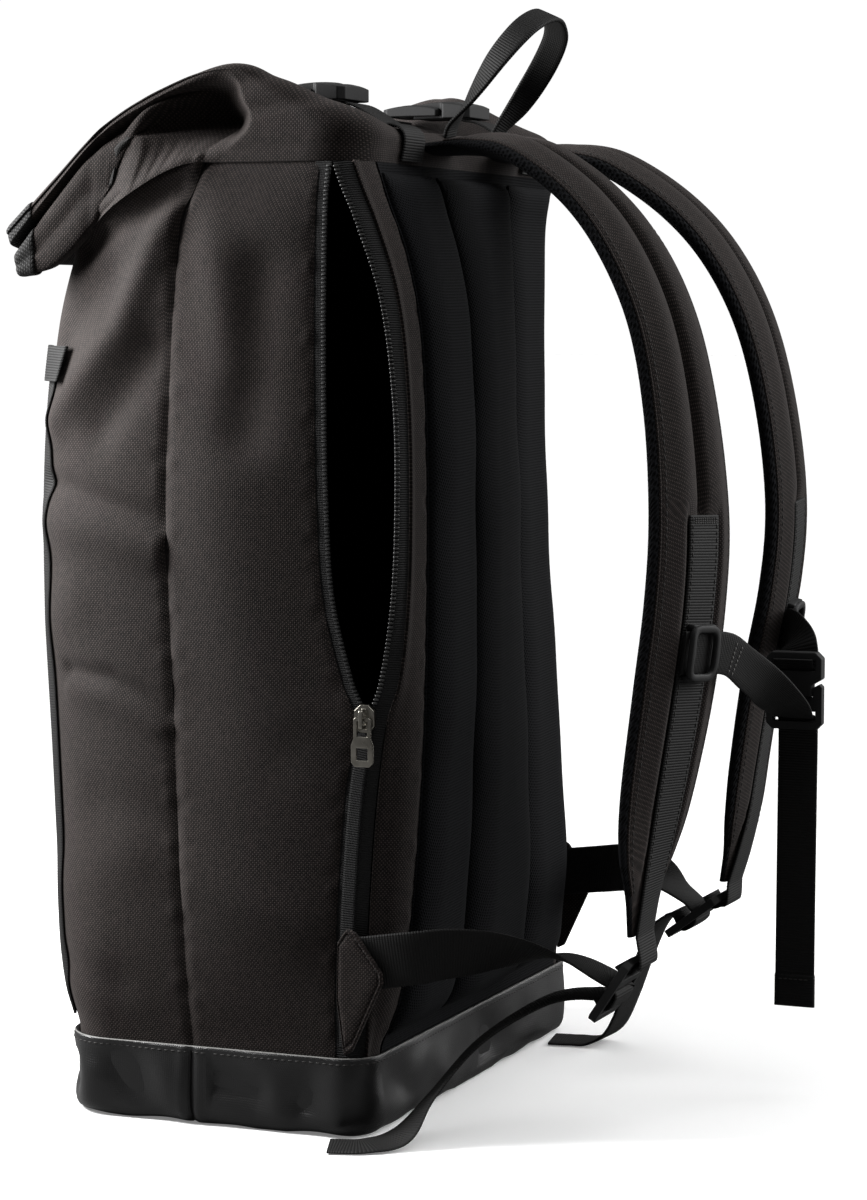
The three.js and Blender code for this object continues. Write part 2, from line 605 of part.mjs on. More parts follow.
function outline(z) {
  const half = fromRows(BODY_ROWS, "z", "half", z);
  const front = fromRows(BODY_ROWS, "z", "front", z);
  const bow = fromRows(BODY_ROWS, "z", "bow", z);
  const radius = fromRows(BODY_ROWS, "z", "frontRadius", z);
  const rearRadius = fromRows(BODY_ROWS, "z", "backRadius", z);
  const seam = fromRows(SIDE_ROWS, "z", "seam", z);
  const zip = fromRows(SIDE_ROWS, "z", "frontTeeth", z) - TAPE_WIDTH;
  const right = [];
  for (let step = 0; step <= SIDE_STEPS; step += 1) {
    right.push(new THREE.Vector2(half, straight(zip, seam, step / SIDE_STEPS)));
  }
  const flat = half - radius;
  const face = [...cornerArc(flat, front + radius, radius, 0, -Math.PI / 2, CORNER_STEPS)];
  for (let step = 1; step < FRONT_STEPS; step += 1) {
    const x = straight(flat, -flat, step / FRONT_STEPS);
    face.push(new THREE.Vector2(x, front - bow * (1 - (x / flat) ** 2)));
  }
  face.push(...cornerArc(-flat, front + radius, radius, -Math.PI / 2, -Math.PI, CORNER_STEPS));
  const frontPoints = [new THREE.Vector2(half, seam), ...face, new THREE.Vector2(-half, seam)];
  const rear = backAt(-PAD_EDGE, z);
  const left = [new THREE.Vector2(-half, seam)];
  for (let step = 1; step < LEFT_STEPS; step += 1) {
    left.push(new THREE.Vector2(-half, straight(seam, rear - rearRadius, step / LEFT_STEPS)));
  }
  const turn = new THREE.QuadraticBezierCurve(
    new THREE.Vector2(-half, rear - rearRadius),
    new THREE.Vector2(-half + LEFT_BEND, rear - LEFT_BEND),
    new THREE.Vector2(-PAD_EDGE, rear),
  );
  left.push(...turn.getPoints(CORNER_STEPS));
  const back = BACK_STATIONS.map((x) => new THREE.Vector2(x, backAt(x, z)));
  const corner = rearCorner(z);
  const tapeStart = 1 - TAPE_WIDTH / corner.getLength();
  const gusset = [];
  for (let step = 0; step <= GUSSET_STEPS; step += 1) {
    gusset.push(corner.getPointAt((tapeStart * step) / GUSSET_STEPS));
  }
  return {
    side_panel_right: right,
    front_panel: frontPoints,
    side_panel_left: left,
    back_panel: back,
    zip_gusset: gusset,
  };
}

function normalsOf(chain) {
  return chain.map((point, index) => {
    const before = chain[Math.max(index - 1, 0)];
    const after = chain[Math.min(index + 1, chain.length - 1)];
    const first = point.clone().sub(before);
    const second = after.clone().sub(point);
    if (first.length() === 0) {
      first.copy(second);
    }
    if (second.length() === 0) {
      second.copy(first);
    }
    first.normalize();
    second.normalize();
    const along = first.clone().add(second).normalize();
    const reach = 1 / Math.max(along.dot(first), MITRE_LIMIT);
    return new THREE.Vector2(-along.y, along.x).multiplyScalar(reach);
  });
}

function partedEnds(points) {
  const moved = points.map((point) => point.clone());
  const last = points.length - 1;
  const first = points[1].clone().sub(points[0]).setLength(CLEAR / 2);
  const final = points[last - 1].clone().sub(points[last]).setLength(CLEAR / 2);
  moved[0].add(first);
  moved[last].add(final);
  return moved;
}

function bodyPanels() {
  const grids = {};
  for (const z of PANEL_HEIGHTS) {
    const stretches = outline(z);
    const chain = [];
    const ranges = {};
    for (const [name, points] of Object.entries(stretches)) {
      const start = chain.length === 0 ? 0 : chain.length - 1;
      chain.push(...(chain.length === 0 ? points : points.slice(1)));
      ranges[name] = [start, chain.length];
    }
    const normals = normalsOf(chain);
    const inner = chain.map((point, index) => point.clone().addScaledVector(normals[index], -CLOTH));
    for (const [name, [start, end]] of Object.entries(ranges)) {
      grids[name] = grids[name] || { outer: [], inner: [] };
      const raise = (point) => new THREE.Vector3(point.x, point.y, z);
      grids[name].outer.push(partedEnds(chain.slice(start, end)).map(raise));
      grids[name].inner.push(partedEnds(inner.slice(start, end)).map(raise));
    }
  }
  for (const [name, grid] of Object.entries(grids)) {
    addPiece(name, slab(grid.outer, grid.inner), surfaces.cloth);
  }
}
bodyPanels();

// Zip tapes: one along the side panel, one along the gusset
function zipTapes() {
  const heights = [TAPE_FOOT, ...PANEL_HEIGHTS.filter((z) => z > TAPE_FOOT)];
  const frontGrid = { outer: [], inner: [] };
  const backGrid = { outer: [], inner: [] };
  for (const z of heights) {
    const half = fromRows(BODY_ROWS, "z", "half", z);
    const teeth = fromRows(SIDE_ROWS, "z", "frontTeeth", z) - TEETH_GAP / 2;
    const edge = teeth - TAPE_WIDTH + TEETH_GAP / 2 + CLEAR / 2;
    const frontPoints = [teeth, edge];
    frontGrid.outer.push(frontPoints.map((y) => new THREE.Vector3(half, y, z)));
    frontGrid.inner.push(frontPoints.map((y) => new THREE.Vector3(half - TAPE_CLOTH, y, z)));
    const corner = rearCorner(z);
    const length = corner.getLength();
    const shares = [1 - (TAPE_WIDTH - TAPE_SEAT) / length, 1 - TAPE_WIDTH / 2 / length, 1];
    const points = shares.map((share) => corner.getPointAt(share));
    const normals = normalsOf(points);
    const inner = points.map((point, index) => point.clone().addScaledVector(normals[index], -TAPE_CLOTH));
    backGrid.outer.push(points.map((point) => new THREE.Vector3(point.x, point.y, z)));
    backGrid.inner.push(inner.map((point) => new THREE.Vector3(point.x, point.y, z)));
  }
  addPiece("zip_tape_front", slab(frontGrid.outer, frontGrid.inner), surfaces.webbing);
  addPiece("zip_tape_back", slab(backGrid.outer, backGrid.inner), surfaces.webbing);
}
zipTapes();

// Coated base tray: the floor of the bag and a band that the panels stand in
function baseRing({ z, inset }) {
  const halfX = BASE_WIDTH / 2 - inset;
  const halfY = BASE_DEPTH / 2 - inset;
  const frontRadius = BASE_FRONT_RADIUS - inset;
  const rearRadius = BASE_REAR_RADIUS - inset;
  const quarter = Math.PI / 2;
  const frontX = halfX - frontRadius;
  const frontY = frontRadius - halfY;
  const rearX = halfX - rearRadius;
  const rearY = halfY - rearRadius;
  const points = [
    ...cornerArc(rearX, rearY, rearRadius, quarter, 0, CORNER_STEPS),
    ...cornerArc(frontX, frontY, frontRadius, 0, -quarter, CORNER_STEPS),
    ...cornerArc(-frontX, frontY, frontRadius, -quarter, -2 * quarter, CORNER_STEPS),
    ...cornerArc(-rearX, rearY, rearRadius, 2 * quarter, quarter, CORNER_STEPS),
  ];
  return points.map((point) => new THREE.Vector3(point.x, point.y, z));
}
addPiece("base_tray", loft(TRAY_ROWS.map(baseRing)), surfaces.coated);

// Mesh back pads: crowned across and rounded off towards every edge
function backPad(pad) {
  const outer = [];
  const inner = [];
  const heights = PANEL_HEIGHTS.filter((z) => z > PAD_LOW && z < PAD_HIGH);
  for (const z of [PAD_LOW, ...heights, PAD_HIGH]) {
    const outerRow = [];
    const innerRow = [];
    for (let step = 0; step <= PAD_STEPS; step += 1) {
      const across = straight(pad.from, pad.to, step / PAD_STEPS);
      const crown = 1 - Math.abs((2 * step) / PAD_STEPS - 1) ** 3;
      const rise = Math.min((z - PAD_LOW) / PAD_RISE, (PAD_HIGH - z) / PAD_RISE, 1);
      const thick = PAD_EDGE_THICK + (PAD_THICK - PAD_EDGE_THICK) * crown * rise;
      const seat = onFacet(z, (height) => backFacet(across, height));
      innerRow.push(new THREE.Vector3(across, seat + CLEAR, z));
      outerRow.push(new THREE.Vector3(across, seat + CLEAR + thick, z));
    }
    inner.push(innerRow);
    outer.push(outerRow);
  }
  addPiece(pad.name, slab(outer, inner), surfaces.mesh);
}

function onFacet(z, valueAt) {
  let index = 0;
  while (index < PANEL_HEIGHTS.length - 2 && PANEL_HEIGHTS[index + 1] < z) {
    index += 1;
  }
  const low = PANEL_HEIGHTS[index];
  const high = PANEL_HEIGHTS[index + 1];
  return straight(valueAt(low), valueAt(high), (z - low) / (high - low));
}
PADS.forEach(backPad);

// Roll top: a flattened tube, folded forward, with its two ends tucked in
function rollRow(at) {
  const index = Math.min(Math.floor(at), ROLL_ROWS.length - 2);
  const share = at - index;
  const row = {};
  for (const key of Object.keys(ROLL_ROWS[0])) {
    row[key] = straight(ROLL_ROWS[index][key], ROLL_ROWS[index + 1][key], share);
  }
  return row;
}

function rollRing(row, grow, tuckShare) {
  const reachY = row.backY - row.frontY;
  const reachZ = row.backZ - row.frontZ;
  const depth = Math.hypot(reachY, reachZ);
  const inside = grow < 0;
  const half = row.half + grow - (inside ? row.tuck : 0);
  const tuck = inside ? 0 : row.tuck * tuckShare;
  const round = Math.max(row.round + grow, 1);
  const flat = half - round;
  const strapIn = TOP_STRAP_X - TOP_STRAP_FLAT;
  const strapOut = Math.min(TOP_STRAP_X + TOP_STRAP_FLAT, flat - 1);
  const low = -grow;
  const high = depth + grow;
  const ring = [];
  const place = (x, along, sag) => {
    const share = along / depth;
    const y = row.frontY + reachY * share;
    const z = row.frontZ + reachZ * share - sag;
    ring.push(new THREE.Vector3(x, y, z));
  };
  const bevel = round * (1 - Math.SQRT1_2);
  for (const x of [flat, strapOut, strapIn, 0, -strapIn, -strapOut, -flat]) {
    place(x, high, Math.abs(x) <= strapOut ? row.sag : 0);
  }
  for (const side of [-1, 1]) {
    const starts = side < 0 ? high - round : low + round;
    const ends = side < 0 ? low + round : high - round;
    place(side * (half - bevel), side < 0 ? high - bevel : low + bevel, 0);
    for (let step = 0; step <= ROLL_SIDE_STEPS; step += 1) {
      const share = step / ROLL_SIDE_STEPS;
      const fold = 1 - Math.abs(2 * share - 1);
      place(side * (half - tuck * fold), straight(starts, ends, share), 0);
    }
    place(side * (half - bevel), side < 0 ? low + bevel : high - bevel, 0);
    if (side < 0) {
      for (const x of [-flat, -strapIn, 0, strapIn, flat]) {
        place(x, low, Math.abs(x) <= strapIn ? row.dip : 0);
      }
    }
  }
  return ring;
}
const rollSteps = ROLL_ROWS.map((row, index) => index);
addPiece("roll_top", openTube(
  rollSteps.map((at) => rollRing(rollRow(at), 0, 1)),
  rollSteps.map((at) => rollRing(rollRow(at), -ROLL_CLOTH, 1)),
), surfaces.cloth);
const hemSteps = [HEM_START, ROLL_ROWS.length - 1];
addPiece("mouth_hem", openTube(
  hemSteps.map((at) => rollRing(rollRow(at), CLEAR + HEM_CLOTH, HEM_TUCK_SHARE)),
  hemSteps.map((at) => rollRing(rollRow(at), CLEAR, HEM_TUCK_SHARE)),
), surfaces.webbing);

// Top straps: webbing on the folded top, sewn down at both ends and clipped in the middle
function roofStation(at, lift) {
  const row = rollRow(at);
  const low = rollRow(Math.max(at - ROOF_STEP, 0));
  const high = rollRow(Math.min(at + ROOF_STEP, ROLL_ROWS.length - 1));
  const runY = high.backY - low.backY;
  const runZ = high.backZ - high.sag - low.backZ + low.sag;
  const out = new THREE.Vector3(0, -runZ, runY).normalize();
  if (out.y * (row.backY - row.frontY) + out.z * (row.backZ - row.frontZ) < 0) {
    out.negate();
  }
  const centre = new THREE.Vector3(TOP_STRAP_X, row.backY, row.backZ - row.sag);
  centre.addScaledVector(out, lift + WEB_THICK / 2);
  return { centre, across: new THREE.Vector3(1, 0, 0), out };
}

function levelStation(y, z) {
  const centre = new THREE.Vector3(TOP_STRAP_X, y, z);
  return { centre, across: new THREE.Vector3(1, 0, 0), out: new THREE.Vector3(0, 0, 1) };
}
const buckleRear = BUCKLE_FRONT_Y + PLUG_LENGTH + SOCKET_LENGTH;
const underBuckle = BUCKLE_UNDERSIDE - CLEAR - WEB_THICK / 2;
const plugSlotY = BUCKLE_FRONT_Y + BUCKLE_BAR + BUCKLE_SLOT / 2;
const socketSlotY = buckleRear - BUCKLE_BAR - BUCKLE_SLOT / 2;
const frontLength = TOP_FRONT_FOLDS.map((at) => roofStation(at, TOP_STRAP_LIFT));
frontLength.push(levelStation(BUCKLE_FRONT_Y - TOP_FRONT_REACH, underBuckle - CLEAR));
frontLength.push(levelStation(plugSlotY - TOP_SLOT_PAST, underBuckle));
const rearLength = [levelStation(socketSlotY + TOP_SLOT_PAST, underBuckle)];
rearLength.push(levelStation(buckleRear + TOP_REAR_REACH, underBuckle - TOP_REAR_DROP));
rearLength.push(...TOP_REAR_FOLDS.map((at) => roofStation(at, TOP_STRAP_LIFT)));
const topFront = ribbon(frontLength, WEB_WIDTH, WEB_THICK);
const topRear = ribbon(rearLength, WEB_WIDTH, WEB_THICK);

// Side-release buckles: a socket with open sides and a plug whose prongs show in them
function plate(outer, holes, depth) {
  const shape = new THREE.Shape(outer.map(([x, y]) => new THREE.Vector2(x, y)));
  for (const hole of holes) {
    shape.holes.push(new THREE.Path(hole.map(([x, y]) => new THREE.Vector2(x, y))));
  }
  return new THREE.ExtrudeGeometry(shape, { depth, bevelEnabled: false });
}

function chamfered(width, low, high, cut) {
  const half = width / 2;
  return [
    [-half + cut, low], [half - cut, low], [half, low + cut], [half, high - cut],
    [half - cut, high], [-half + cut, high], [-half, high - cut], [-half, low + cut],
  ];
}

function box(width, low, high) {
  const half = width / 2;
  return [[-half, low], [-half, high], [half, high], [half, low]];
}

function socketPlate(width, length, thick, slotWidth) {
  const half = width / 2;
  const notch = half - BUCKLE_PRONG;
  const reach = Math.min(BUCKLE_PRONG_REACH, length - BUCKLE_BAR * 2 - BUCKLE_SLOT);
  const corner = BUCKLE_CORNER;
  const outer = [
    [-notch, 0], [notch, 0], [notch, reach - corner], [half, reach], [half, length - corner],
    [half - corner, length], [-half + corner, length], [-half, length - corner], [-half, reach],
    [-notch, reach - corner],
  ];
  const slotHigh = length - BUCKLE_BAR;
  const slot = box(slotWidth, slotHigh - BUCKLE_SLOT, slotHigh);
  return plate(outer, [slot], thick);
}

function plugPlate(width, length, thick, slotWidth, prongReach) {
  const half = width / 2;
  const root = half - BUCKLE_PRONG + CLEAR;
  const corner = BUCKLE_CORNER;
  const tipX = half - PRONG_TIP_IN;
  const tipY = prongReach - PRONG_TIP;
  const shoulderY = prongReach - PRONG_SHOULDER;
  const rootY = prongReach - PRONG_ROOT;
  const outer = [
    [-half + corner, -length], [half - corner, -length], [half, -length + corner], [half, shoulderY],
    [tipX, tipY], [root, rootY], [root, -CLEAR], [-root, -CLEAR],
    [-root, rootY], [-tipX, tipY], [-half, shoulderY], [-half, -length + corner],
  ];
  const slot = box(slotWidth, -length + BUCKLE_BAR, -length + BUCKLE_BAR + BUCKLE_SLOT);
  return plate(outer, [slot], thick);
}
const buckleSlotWidth = WEB_WIDTH + BUCKLE_SLOT_PLAY;
const plugThick = BUCKLE_THICK - 2 * PLUG_RECESS;
const topSocket = socketPlate(BUCKLE_WIDTH, SOCKET_LENGTH, BUCKLE_THICK, buckleSlotWidth);
const topPlug = plugPlate(BUCKLE_WIDTH, PLUG_LENGTH, plugThick, buckleSlotWidth, BUCKLE_PRONG_REACH);
topSocket.translate(TOP_STRAP_X, BUCKLE_FRONT_Y + PLUG_LENGTH, BUCKLE_UNDERSIDE);
topPlug.translate(TOP_STRAP_X, BUCKLE_FRONT_Y + PLUG_LENGTH, BUCKLE_UNDERSIDE + PLUG_RECESS);
const topPieces = [
  { name: "top_strap_front", geometry: topFront, surface: surfaces.webbing },
  { name: "top_strap_back", geometry: topRear, surface: surfaces.webbing },
  { name: "top_buckle_socket", geometry: mergeVertices(stripped(topSocket)), surface: surfaces.plastic },
  { name: "top_buckle_plug", geometry: mergeVertices(stripped(topPlug)), surface: surfaces.plastic },
];

function stripped(geometry) {
  const bare = geometry.clone();
  bare.deleteAttribute("normal");
  bare.deleteAttribute("uv");
  return bare;
}

function addPair(pieces) {
  for (const { name, geometry, surface } of pieces) {
    addPiece(`${name}_right`, geometry, surface);
    addPiece(`${name}_left`, mirrored(geometry), surface);
  }
}
addPair(topPieces);

// Haul loop
function haulLoop() {
  const descent = HAUL_ROWS.slice(0, -1).reverse();
  const farLeg = descent.map((row) => ({ ...row, x: -row.x, crossX: -row.crossX }));
  const stations = stationsAlong([...HAUL_ROWS, ...farLeg], 2);
  return ribbon([stations[0], ...alignedWith(stations[0], stations.slice(1))], LOOP_WIDTH, LOOP_THICK);
}
addPiece("haul_loop", haulLoop(), surfaces.webbing);

// Shoulder straps: a padded tube that narrows to its lower tip. The left one is shaped on the right side and
// then mirrored.
function strapStations(side) {
  const table = counted(STRAP_ROWS);
  const stations = [];
  const last = STRAP_ROWS.length - 1;
  const value = (key, step) => fromRows(table, "step", key, (last * step) / STRAP_STEPS);
  const reach = (step) => value("y", step) + (side === "left" ? value("leftReach", step) : 0);
  for (let step = 0; step <= STRAP_STEPS; step += 1) {
    const before = Math.max(step - 1, 0);
    const after = Math.min(step + 1, STRAP_STEPS);
    const runX = value("x", after) - value("x", before);
    const along = new THREE.Vector3(runX, reach(after) - reach(before), value("z", after) - value("z", before));
    along.normalize();
    const turnShare = side === "left" ? LEFT_TURN_SHARE : 1;
    const turn = THREE.MathUtils.degToRad(value("turn", step) * turnShare);
    const across = new THREE.Vector3(Math.cos(turn), -Math.sin(turn), 0);
    across.addScaledVector(along, -across.dot(along)).normalize();
    const out = new THREE.Vector3().crossVectors(across, along);
    const centre = new THREE.Vector3(value("x", step), reach(step), value("z", step));
    stations.push({ centre, across, out, half: value("half", step), thick: value("thick", step) });
  }
  return stations;
}

function shoulderStrap(line) {
  const rings = line.map(({ centre, across, out, half, thick }) => {
    const flat = Math.min(STRAP_FLAT, half - STRAP_EDGE);
    const shoulder = straight(flat, half, STRAP_SHOULDER);
    const low = thick * STRAP_SHOULDER_RISE;
    const profile = [
      [-half, 0], [-shoulder, -low], [-flat, -thick], [flat, -thick], [shoulder, -low],
      [half, 0], [shoulder, low], [flat, thick], [-flat, thick], [-shoulder, low],
    ];
    return profile.map(([side, rise]) => {
      const point = centre.clone().addScaledVector(across, side);
      return point.addScaledVector(out, rise);
    });
  });
  return loft(rings);
}

// Ladder locks and the webbing threaded through them
function lockFrame(side) {
  const run = new THREE.Vector3(0, LOCKS[side].runY, LOCKS[side].runZ).normalize();
  const out = new THREE.Vector3(0, -run.z, run.y);
  const top = new THREE.Vector3(LOCK_X, LOCKS[side].topY, LOCKS[side].topZ);
  return { run, out, top };
}

function lockRows(frame, rows) {
  return rows.map(({ run, rise }) => {
    const point = frame.top.clone().addScaledVector(frame.run, run).addScaledVector(frame.out, rise);
    return { x: point.x, y: point.y, z: point.z, crossX: 1, crossY: 0, crossZ: 0 };
  });
}

function ladderLock(frame) {
  const length = LOCK_BAR * (LOCK_SLOTS + 1) + LOCK_SLOT * LOCK_SLOTS;
  const holes = [];
  for (let slot = 0; slot < LOCK_SLOTS; slot += 1) {
    const low = LOCK_BAR + slot * (LOCK_BAR + LOCK_SLOT);
    holes.push(box(LOCK_SLOT_WIDTH, low, low + LOCK_SLOT));
  }
  const lock = plate(chamfered(LOCK_WIDTH, 0, length, LOCK_CORNER), holes, LOCK_THICK);
  lock.translate(0, 0, -LOCK_THICK / 2);
  const across = new THREE.Vector3().crossVectors(frame.run, frame.out);
  const placed = new THREE.Matrix4().makeBasis(across, frame.run, frame.out);
  placed.setPosition(frame.top);
  lock.applyMatrix4(placed);
  return mergeVertices(stripped(lock));
}

function alignedWith(first, stations) {
  let before = first;
  return stations.map((station) => {
    const across = station.across.dot(before.across) < 0 ? station.across.clone().negate() : station.across;
    const out = station.out.dot(before.out) < 0 ? station.out.clone().negate() : station.out;
    before = { across, out };
    return { centre: station.centre, across, out };
  });
}

function strapWebbing(line, frame) {
  const stations = line.slice(STRAP_WEB_START).map(({ centre, across, out, thick }) => {
    const lifted = centre.clone().addScaledVector(out, thick + STRAP_WEB_LIFT + WEB_THICK / 2);
    return { centre: lifted, across, out };
  });
  const last = stations[stations.length - 1];
  const joint = { x: last.centre.x, y: last.centre.y, z: last.centre.z, crossX: 1, crossY: 0, crossZ: 0 };
  const threaded = stationsAlong([joint, ...lockRows(frame, STRAP_WEB_END)], RIBBON_STEPS).slice(1);
  return ribbon([...stations, ...alignedWith(last, threaded)], WEB_WIDTH, WEB_THICK);
}

function lowerWebbing(frame, wingRows, tailRows) {
  const rows = [...wingRows, ...lockRows(frame, LOCK_WEAVE), ...tailRows];
  const stations = stationsAlong(rows, RIBBON_STEPS);
  return ribbon([stations[0], ...alignedWith(stations[0], stations.slice(1))], WEB_WIDTH, WEB_THICK);
}

function strapWing() {
  const corners = WING_CORNERS.map(({ y, z }) => [y, z]);
  const tab = plate(corners, [], WING_THICK);
  tab.applyMatrix4(facingRight(WING_X, 0, 0));
  return mergeVertices(stripped(tab));
}

// Sternum sliders on the strap webbing, sternum straps and buckle
function sliderPlace(line) {
  const { centre, across, out, thick } = line[SLIDER_STATION];
  const along = new THREE.Vector3().crossVectors(out, across);
  const seat = thick + STRAP_WEB_LIFT + WEB_THICK + CLEAR;
  return { centre, across, out, along, seat };
}

function sternumSlider(place) {
  const half = SLIDER_LENGTH / 2;
  const rail = half - SLIDER_RAIL;
  const roof = SLIDER_FOOT + SLIDER_PLATE;
  const outer = [
    [-half, 0], [-rail, 0], [-rail, SLIDER_FOOT], [rail, SLIDER_FOOT], [rail, 0], [half, 0],
    [half, roof - SLIDER_CORNER], [half - SLIDER_CORNER, roof],
    [-half + SLIDER_CORNER, roof], [-half, roof - SLIDER_CORNER],
  ];
  const body = plate(outer, [], SLIDER_WIDTH);
  body.translate(0, place.seat, -SLIDER_WIDTH / 2);
  const across = new THREE.Vector3().crossVectors(place.along, place.out);
  const placed = new THREE.Matrix4().makeBasis(place.along, place.out, across);
  placed.setPosition(place.centre);
  body.applyMatrix4(placed);
  return mergeVertices(stripped(body));
}

function sternumStrap(place, side, rows) {
  const tunnel = place.centre.clone().addScaledVector(place.out, place.seat + SLIDER_FOOT / 2);
  const facing = place.along.z < 0 ? -1 : 1;
  const reach = SLIDER_WIDTH / 2;
  const start = [reach, 0, -reach].map((shift) => {
    const point = tunnel.clone().addScaledVector(place.across, shift);
    return {
      x: side * point.x,
      y: point.y,
      z: point.z,
      crossX: side * facing * place.along.x,
      crossY: facing * place.along.y,
      crossZ: facing * place.along.z,
    };
  });
  const stations = stationsAlong([...start, ...rows], RIBBON_STEPS);
  return ribbon([stations[0], ...alignedWith(stations[0], stations.slice(1))], STERNUM_WIDTH, STERNUM_THICK);
}

function carryPieces(side, wingRows, tailRows) {
  const line = strapStations(side);
  const frame = lockFrame(side);
  const pieces = [
    { name: "shoulder_strap", geometry: shoulderStrap(line), surface: surfaces.cloth },
    { name: "strap_webbing", geometry: strapWebbing(line, frame), surface: surfaces.webbing },
    { name: "ladder_lock", geometry: ladderLock(frame), surface: surfaces.plastic },
    { name: "lower_webbing", geometry: lowerWebbing(frame, wingRows, tailRows), surface: surfaces.webbing },
    { name: "strap_wing", geometry: strapWing(), surface: surfaces.cloth },
    { name: "sternum_slider", geometry: sternumSlider(sliderPlace(line)), surface: surfaces.plastic },
  ];
  for (const { name, geometry, surface } of pieces) {
    addPiece(`${name}_${side}`, side === "left" ? mirrored(geometry) : geometry, surface);
  }
  return sliderPlace(line);
}
const rightSlider = carryPieces("right", LOWER_ROWS_RIGHT, TAIL_ROWS_RIGHT);
const leftSlider = carryPieces("left", LOWER_ROWS_LEFT, TAIL_ROWS_LEFT);
addPiece("sternum_strap_right", sternumStrap(rightSlider, 1, STERNUM_RIGHT_ROWS), surfaces.webbing);
addPiece("sternum_strap_left", sternumStrap(leftSlider, -1, STERNUM_LEFT_ROWS), surfaces.webbing);

function hangingBuckle(geometry, thick) {
  const height = STERNUM_BUCKLE_TOP - STERNUM_SOCKET_LENGTH;
  geometry.applyMatrix4(facingRight(STERNUM_BUCKLE_X - thick / 2, STERNUM_BUCKLE_Y, height));
  return mergeVertices(stripped(geometry));
}
const sternumSlot = STERNUM_WIDTH + BUCKLE_SLOT_PLAY;
const sternumThin = STERNUM_BUCKLE_THICK - 2 * STERNUM_PLUG_RECESS;
const sternumSocket = socketPlate(
  STERNUM_BUCKLE_WIDTH,
  STERNUM_SOCKET_LENGTH,
  STERNUM_BUCKLE_THICK,
  sternumSlot,
);
const sternumPlug = plugPlate(
  STERNUM_BUCKLE_WIDTH,
  STERNUM_PLUG_LENGTH,
  sternumThin,
  sternumSlot,
  STERNUM_PRONG_REACH,
);
addPiece("sternum_socket", hangingBuckle(sternumSocket, STERNUM_BUCKLE_THICK), surfaces.plastic);
addPiece("sternum_plug", hangingBuckle(sternumPlug, sternumThin), surfaces.plastic);

// Zip slider with its arch, and the puller that swings on a pin under the arch
const zipX = fromRows(BODY_ROWS, "z", "half", ZIP_SLIDER_Z) + CLEAR;
const zipY = fromRows(SIDE_ROWS, "z", "frontTeeth", ZIP_SLIDER_Z);
const archLow = zipX + ZIP_BODY_THICK;

function zipSlider() {
  const reach = ZIP_BODY_LENGTH / 2;
  const foot = plate(chamfered(ZIP_BODY_WIDTH, -reach, reach, ZIP_CORNER), [], ZIP_BODY_THICK);
  foot.applyMatrix4(facingRight(zipX, zipY, ZIP_SLIDER_Z));
  const half = ZIP_ARCH_LENGTH / 2;
  const inner = half - ZIP_ARCH_BAR;
  const crest = ZIP_ARCH_REACH;
  const root = -ZIP_ARCH_ROOT;
  const under = crest - ZIP_ARCH_BAR;
  const cut = ZIP_ARCH_CORNER;
  const staple = [
    [root, -half], [root, -inner], [under, -inner], [under, inner], [root, inner],
    [root, half], [crest - cut, half], [crest, half - cut], [crest, -half + cut], [crest - cut, -half],
  ];
  const arch = plate(staple, [], ZIP_ARCH_WIDTH);
  const sideways = new THREE.Matrix4().makeBasis(
    new THREE.Vector3(1, 0, 0),
    new THREE.Vector3(0, 0, 1),
    new THREE.Vector3(0, -1, 0),
  );
  sideways.setPosition(new THREE.Vector3(archLow, zipY + ZIP_ARCH_WIDTH / 2, ZIP_SLIDER_Z));
  arch.applyMatrix4(sideways);
  return joined([foot, arch]);
}
addPiece("zip_slider", zipSlider(), surfaces.metal);

function zipPuller() {
  const half = PULLER_WIDTH / 2;
  const eye = PULLER_EYE_WIDTH / 2;
  const neck = half - PULLER_NECK_IN;
  const pin = PULLER_PIN / 2;
  const foot = -PULLER_LENGTH;
  const slotLow = foot + PULLER_FOOT;
  const corner = PULLER_CORNER;
  const eyeCorner = PULLER_EYE_CORNER;
  const outer = [
    [-neck, pin - eyeCorner], [-neck, -PULLER_NECK_LENGTH], [-half, -PULLER_SHOULDER], [-half, foot + corner],
    [-half + corner, foot], [half - corner, foot], [half, foot + corner], [half, -PULLER_SHOULDER],
    [neck, -PULLER_NECK_LENGTH], [neck, pin - eyeCorner], [neck - eyeCorner, pin], [-neck + eyeCorner, pin],
  ];
  const eyeHole = box(eye * 2, -pin - PULLER_EYE_LENGTH, -pin);
  const slot = box(PULLER_SLOT_WIDTH, slotLow, slotLow + PULLER_SLOT_LENGTH);
  const tab = plate(outer, [eyeHole, slot], PULLER_THICK);
  tab.applyMatrix4(facingRight(archLow + PULLER_LIFT - PULLER_THICK / 2, zipY, ZIP_SLIDER_Z));
  return mergeVertices(stripped(tab));
}
addPiece("zip_puller", zipPuller(), surfaces.metal);

// Front webbing at each front corner, with a short tab over its top end
function frontCornerStation(z, lift) {
  const half = fromRows(BODY_ROWS, "z", "half", z);
  const front = fromRows(BODY_ROWS, "z", "front", z);
  const radius = fromRows(BODY_ROWS, "z", "frontRadius", z);
  const out = new THREE.Vector3(Math.cos(FRONT_WEB_ANGLE), Math.sin(FRONT_WEB_ANGLE), 0);
  const centre = new THREE.Vector3(half - radius, front + radius, z).addScaledVector(out, radius + lift);
  const across = new THREE.Vector3(-out.y, out.x, 0);
  return { centre, across, out };
}

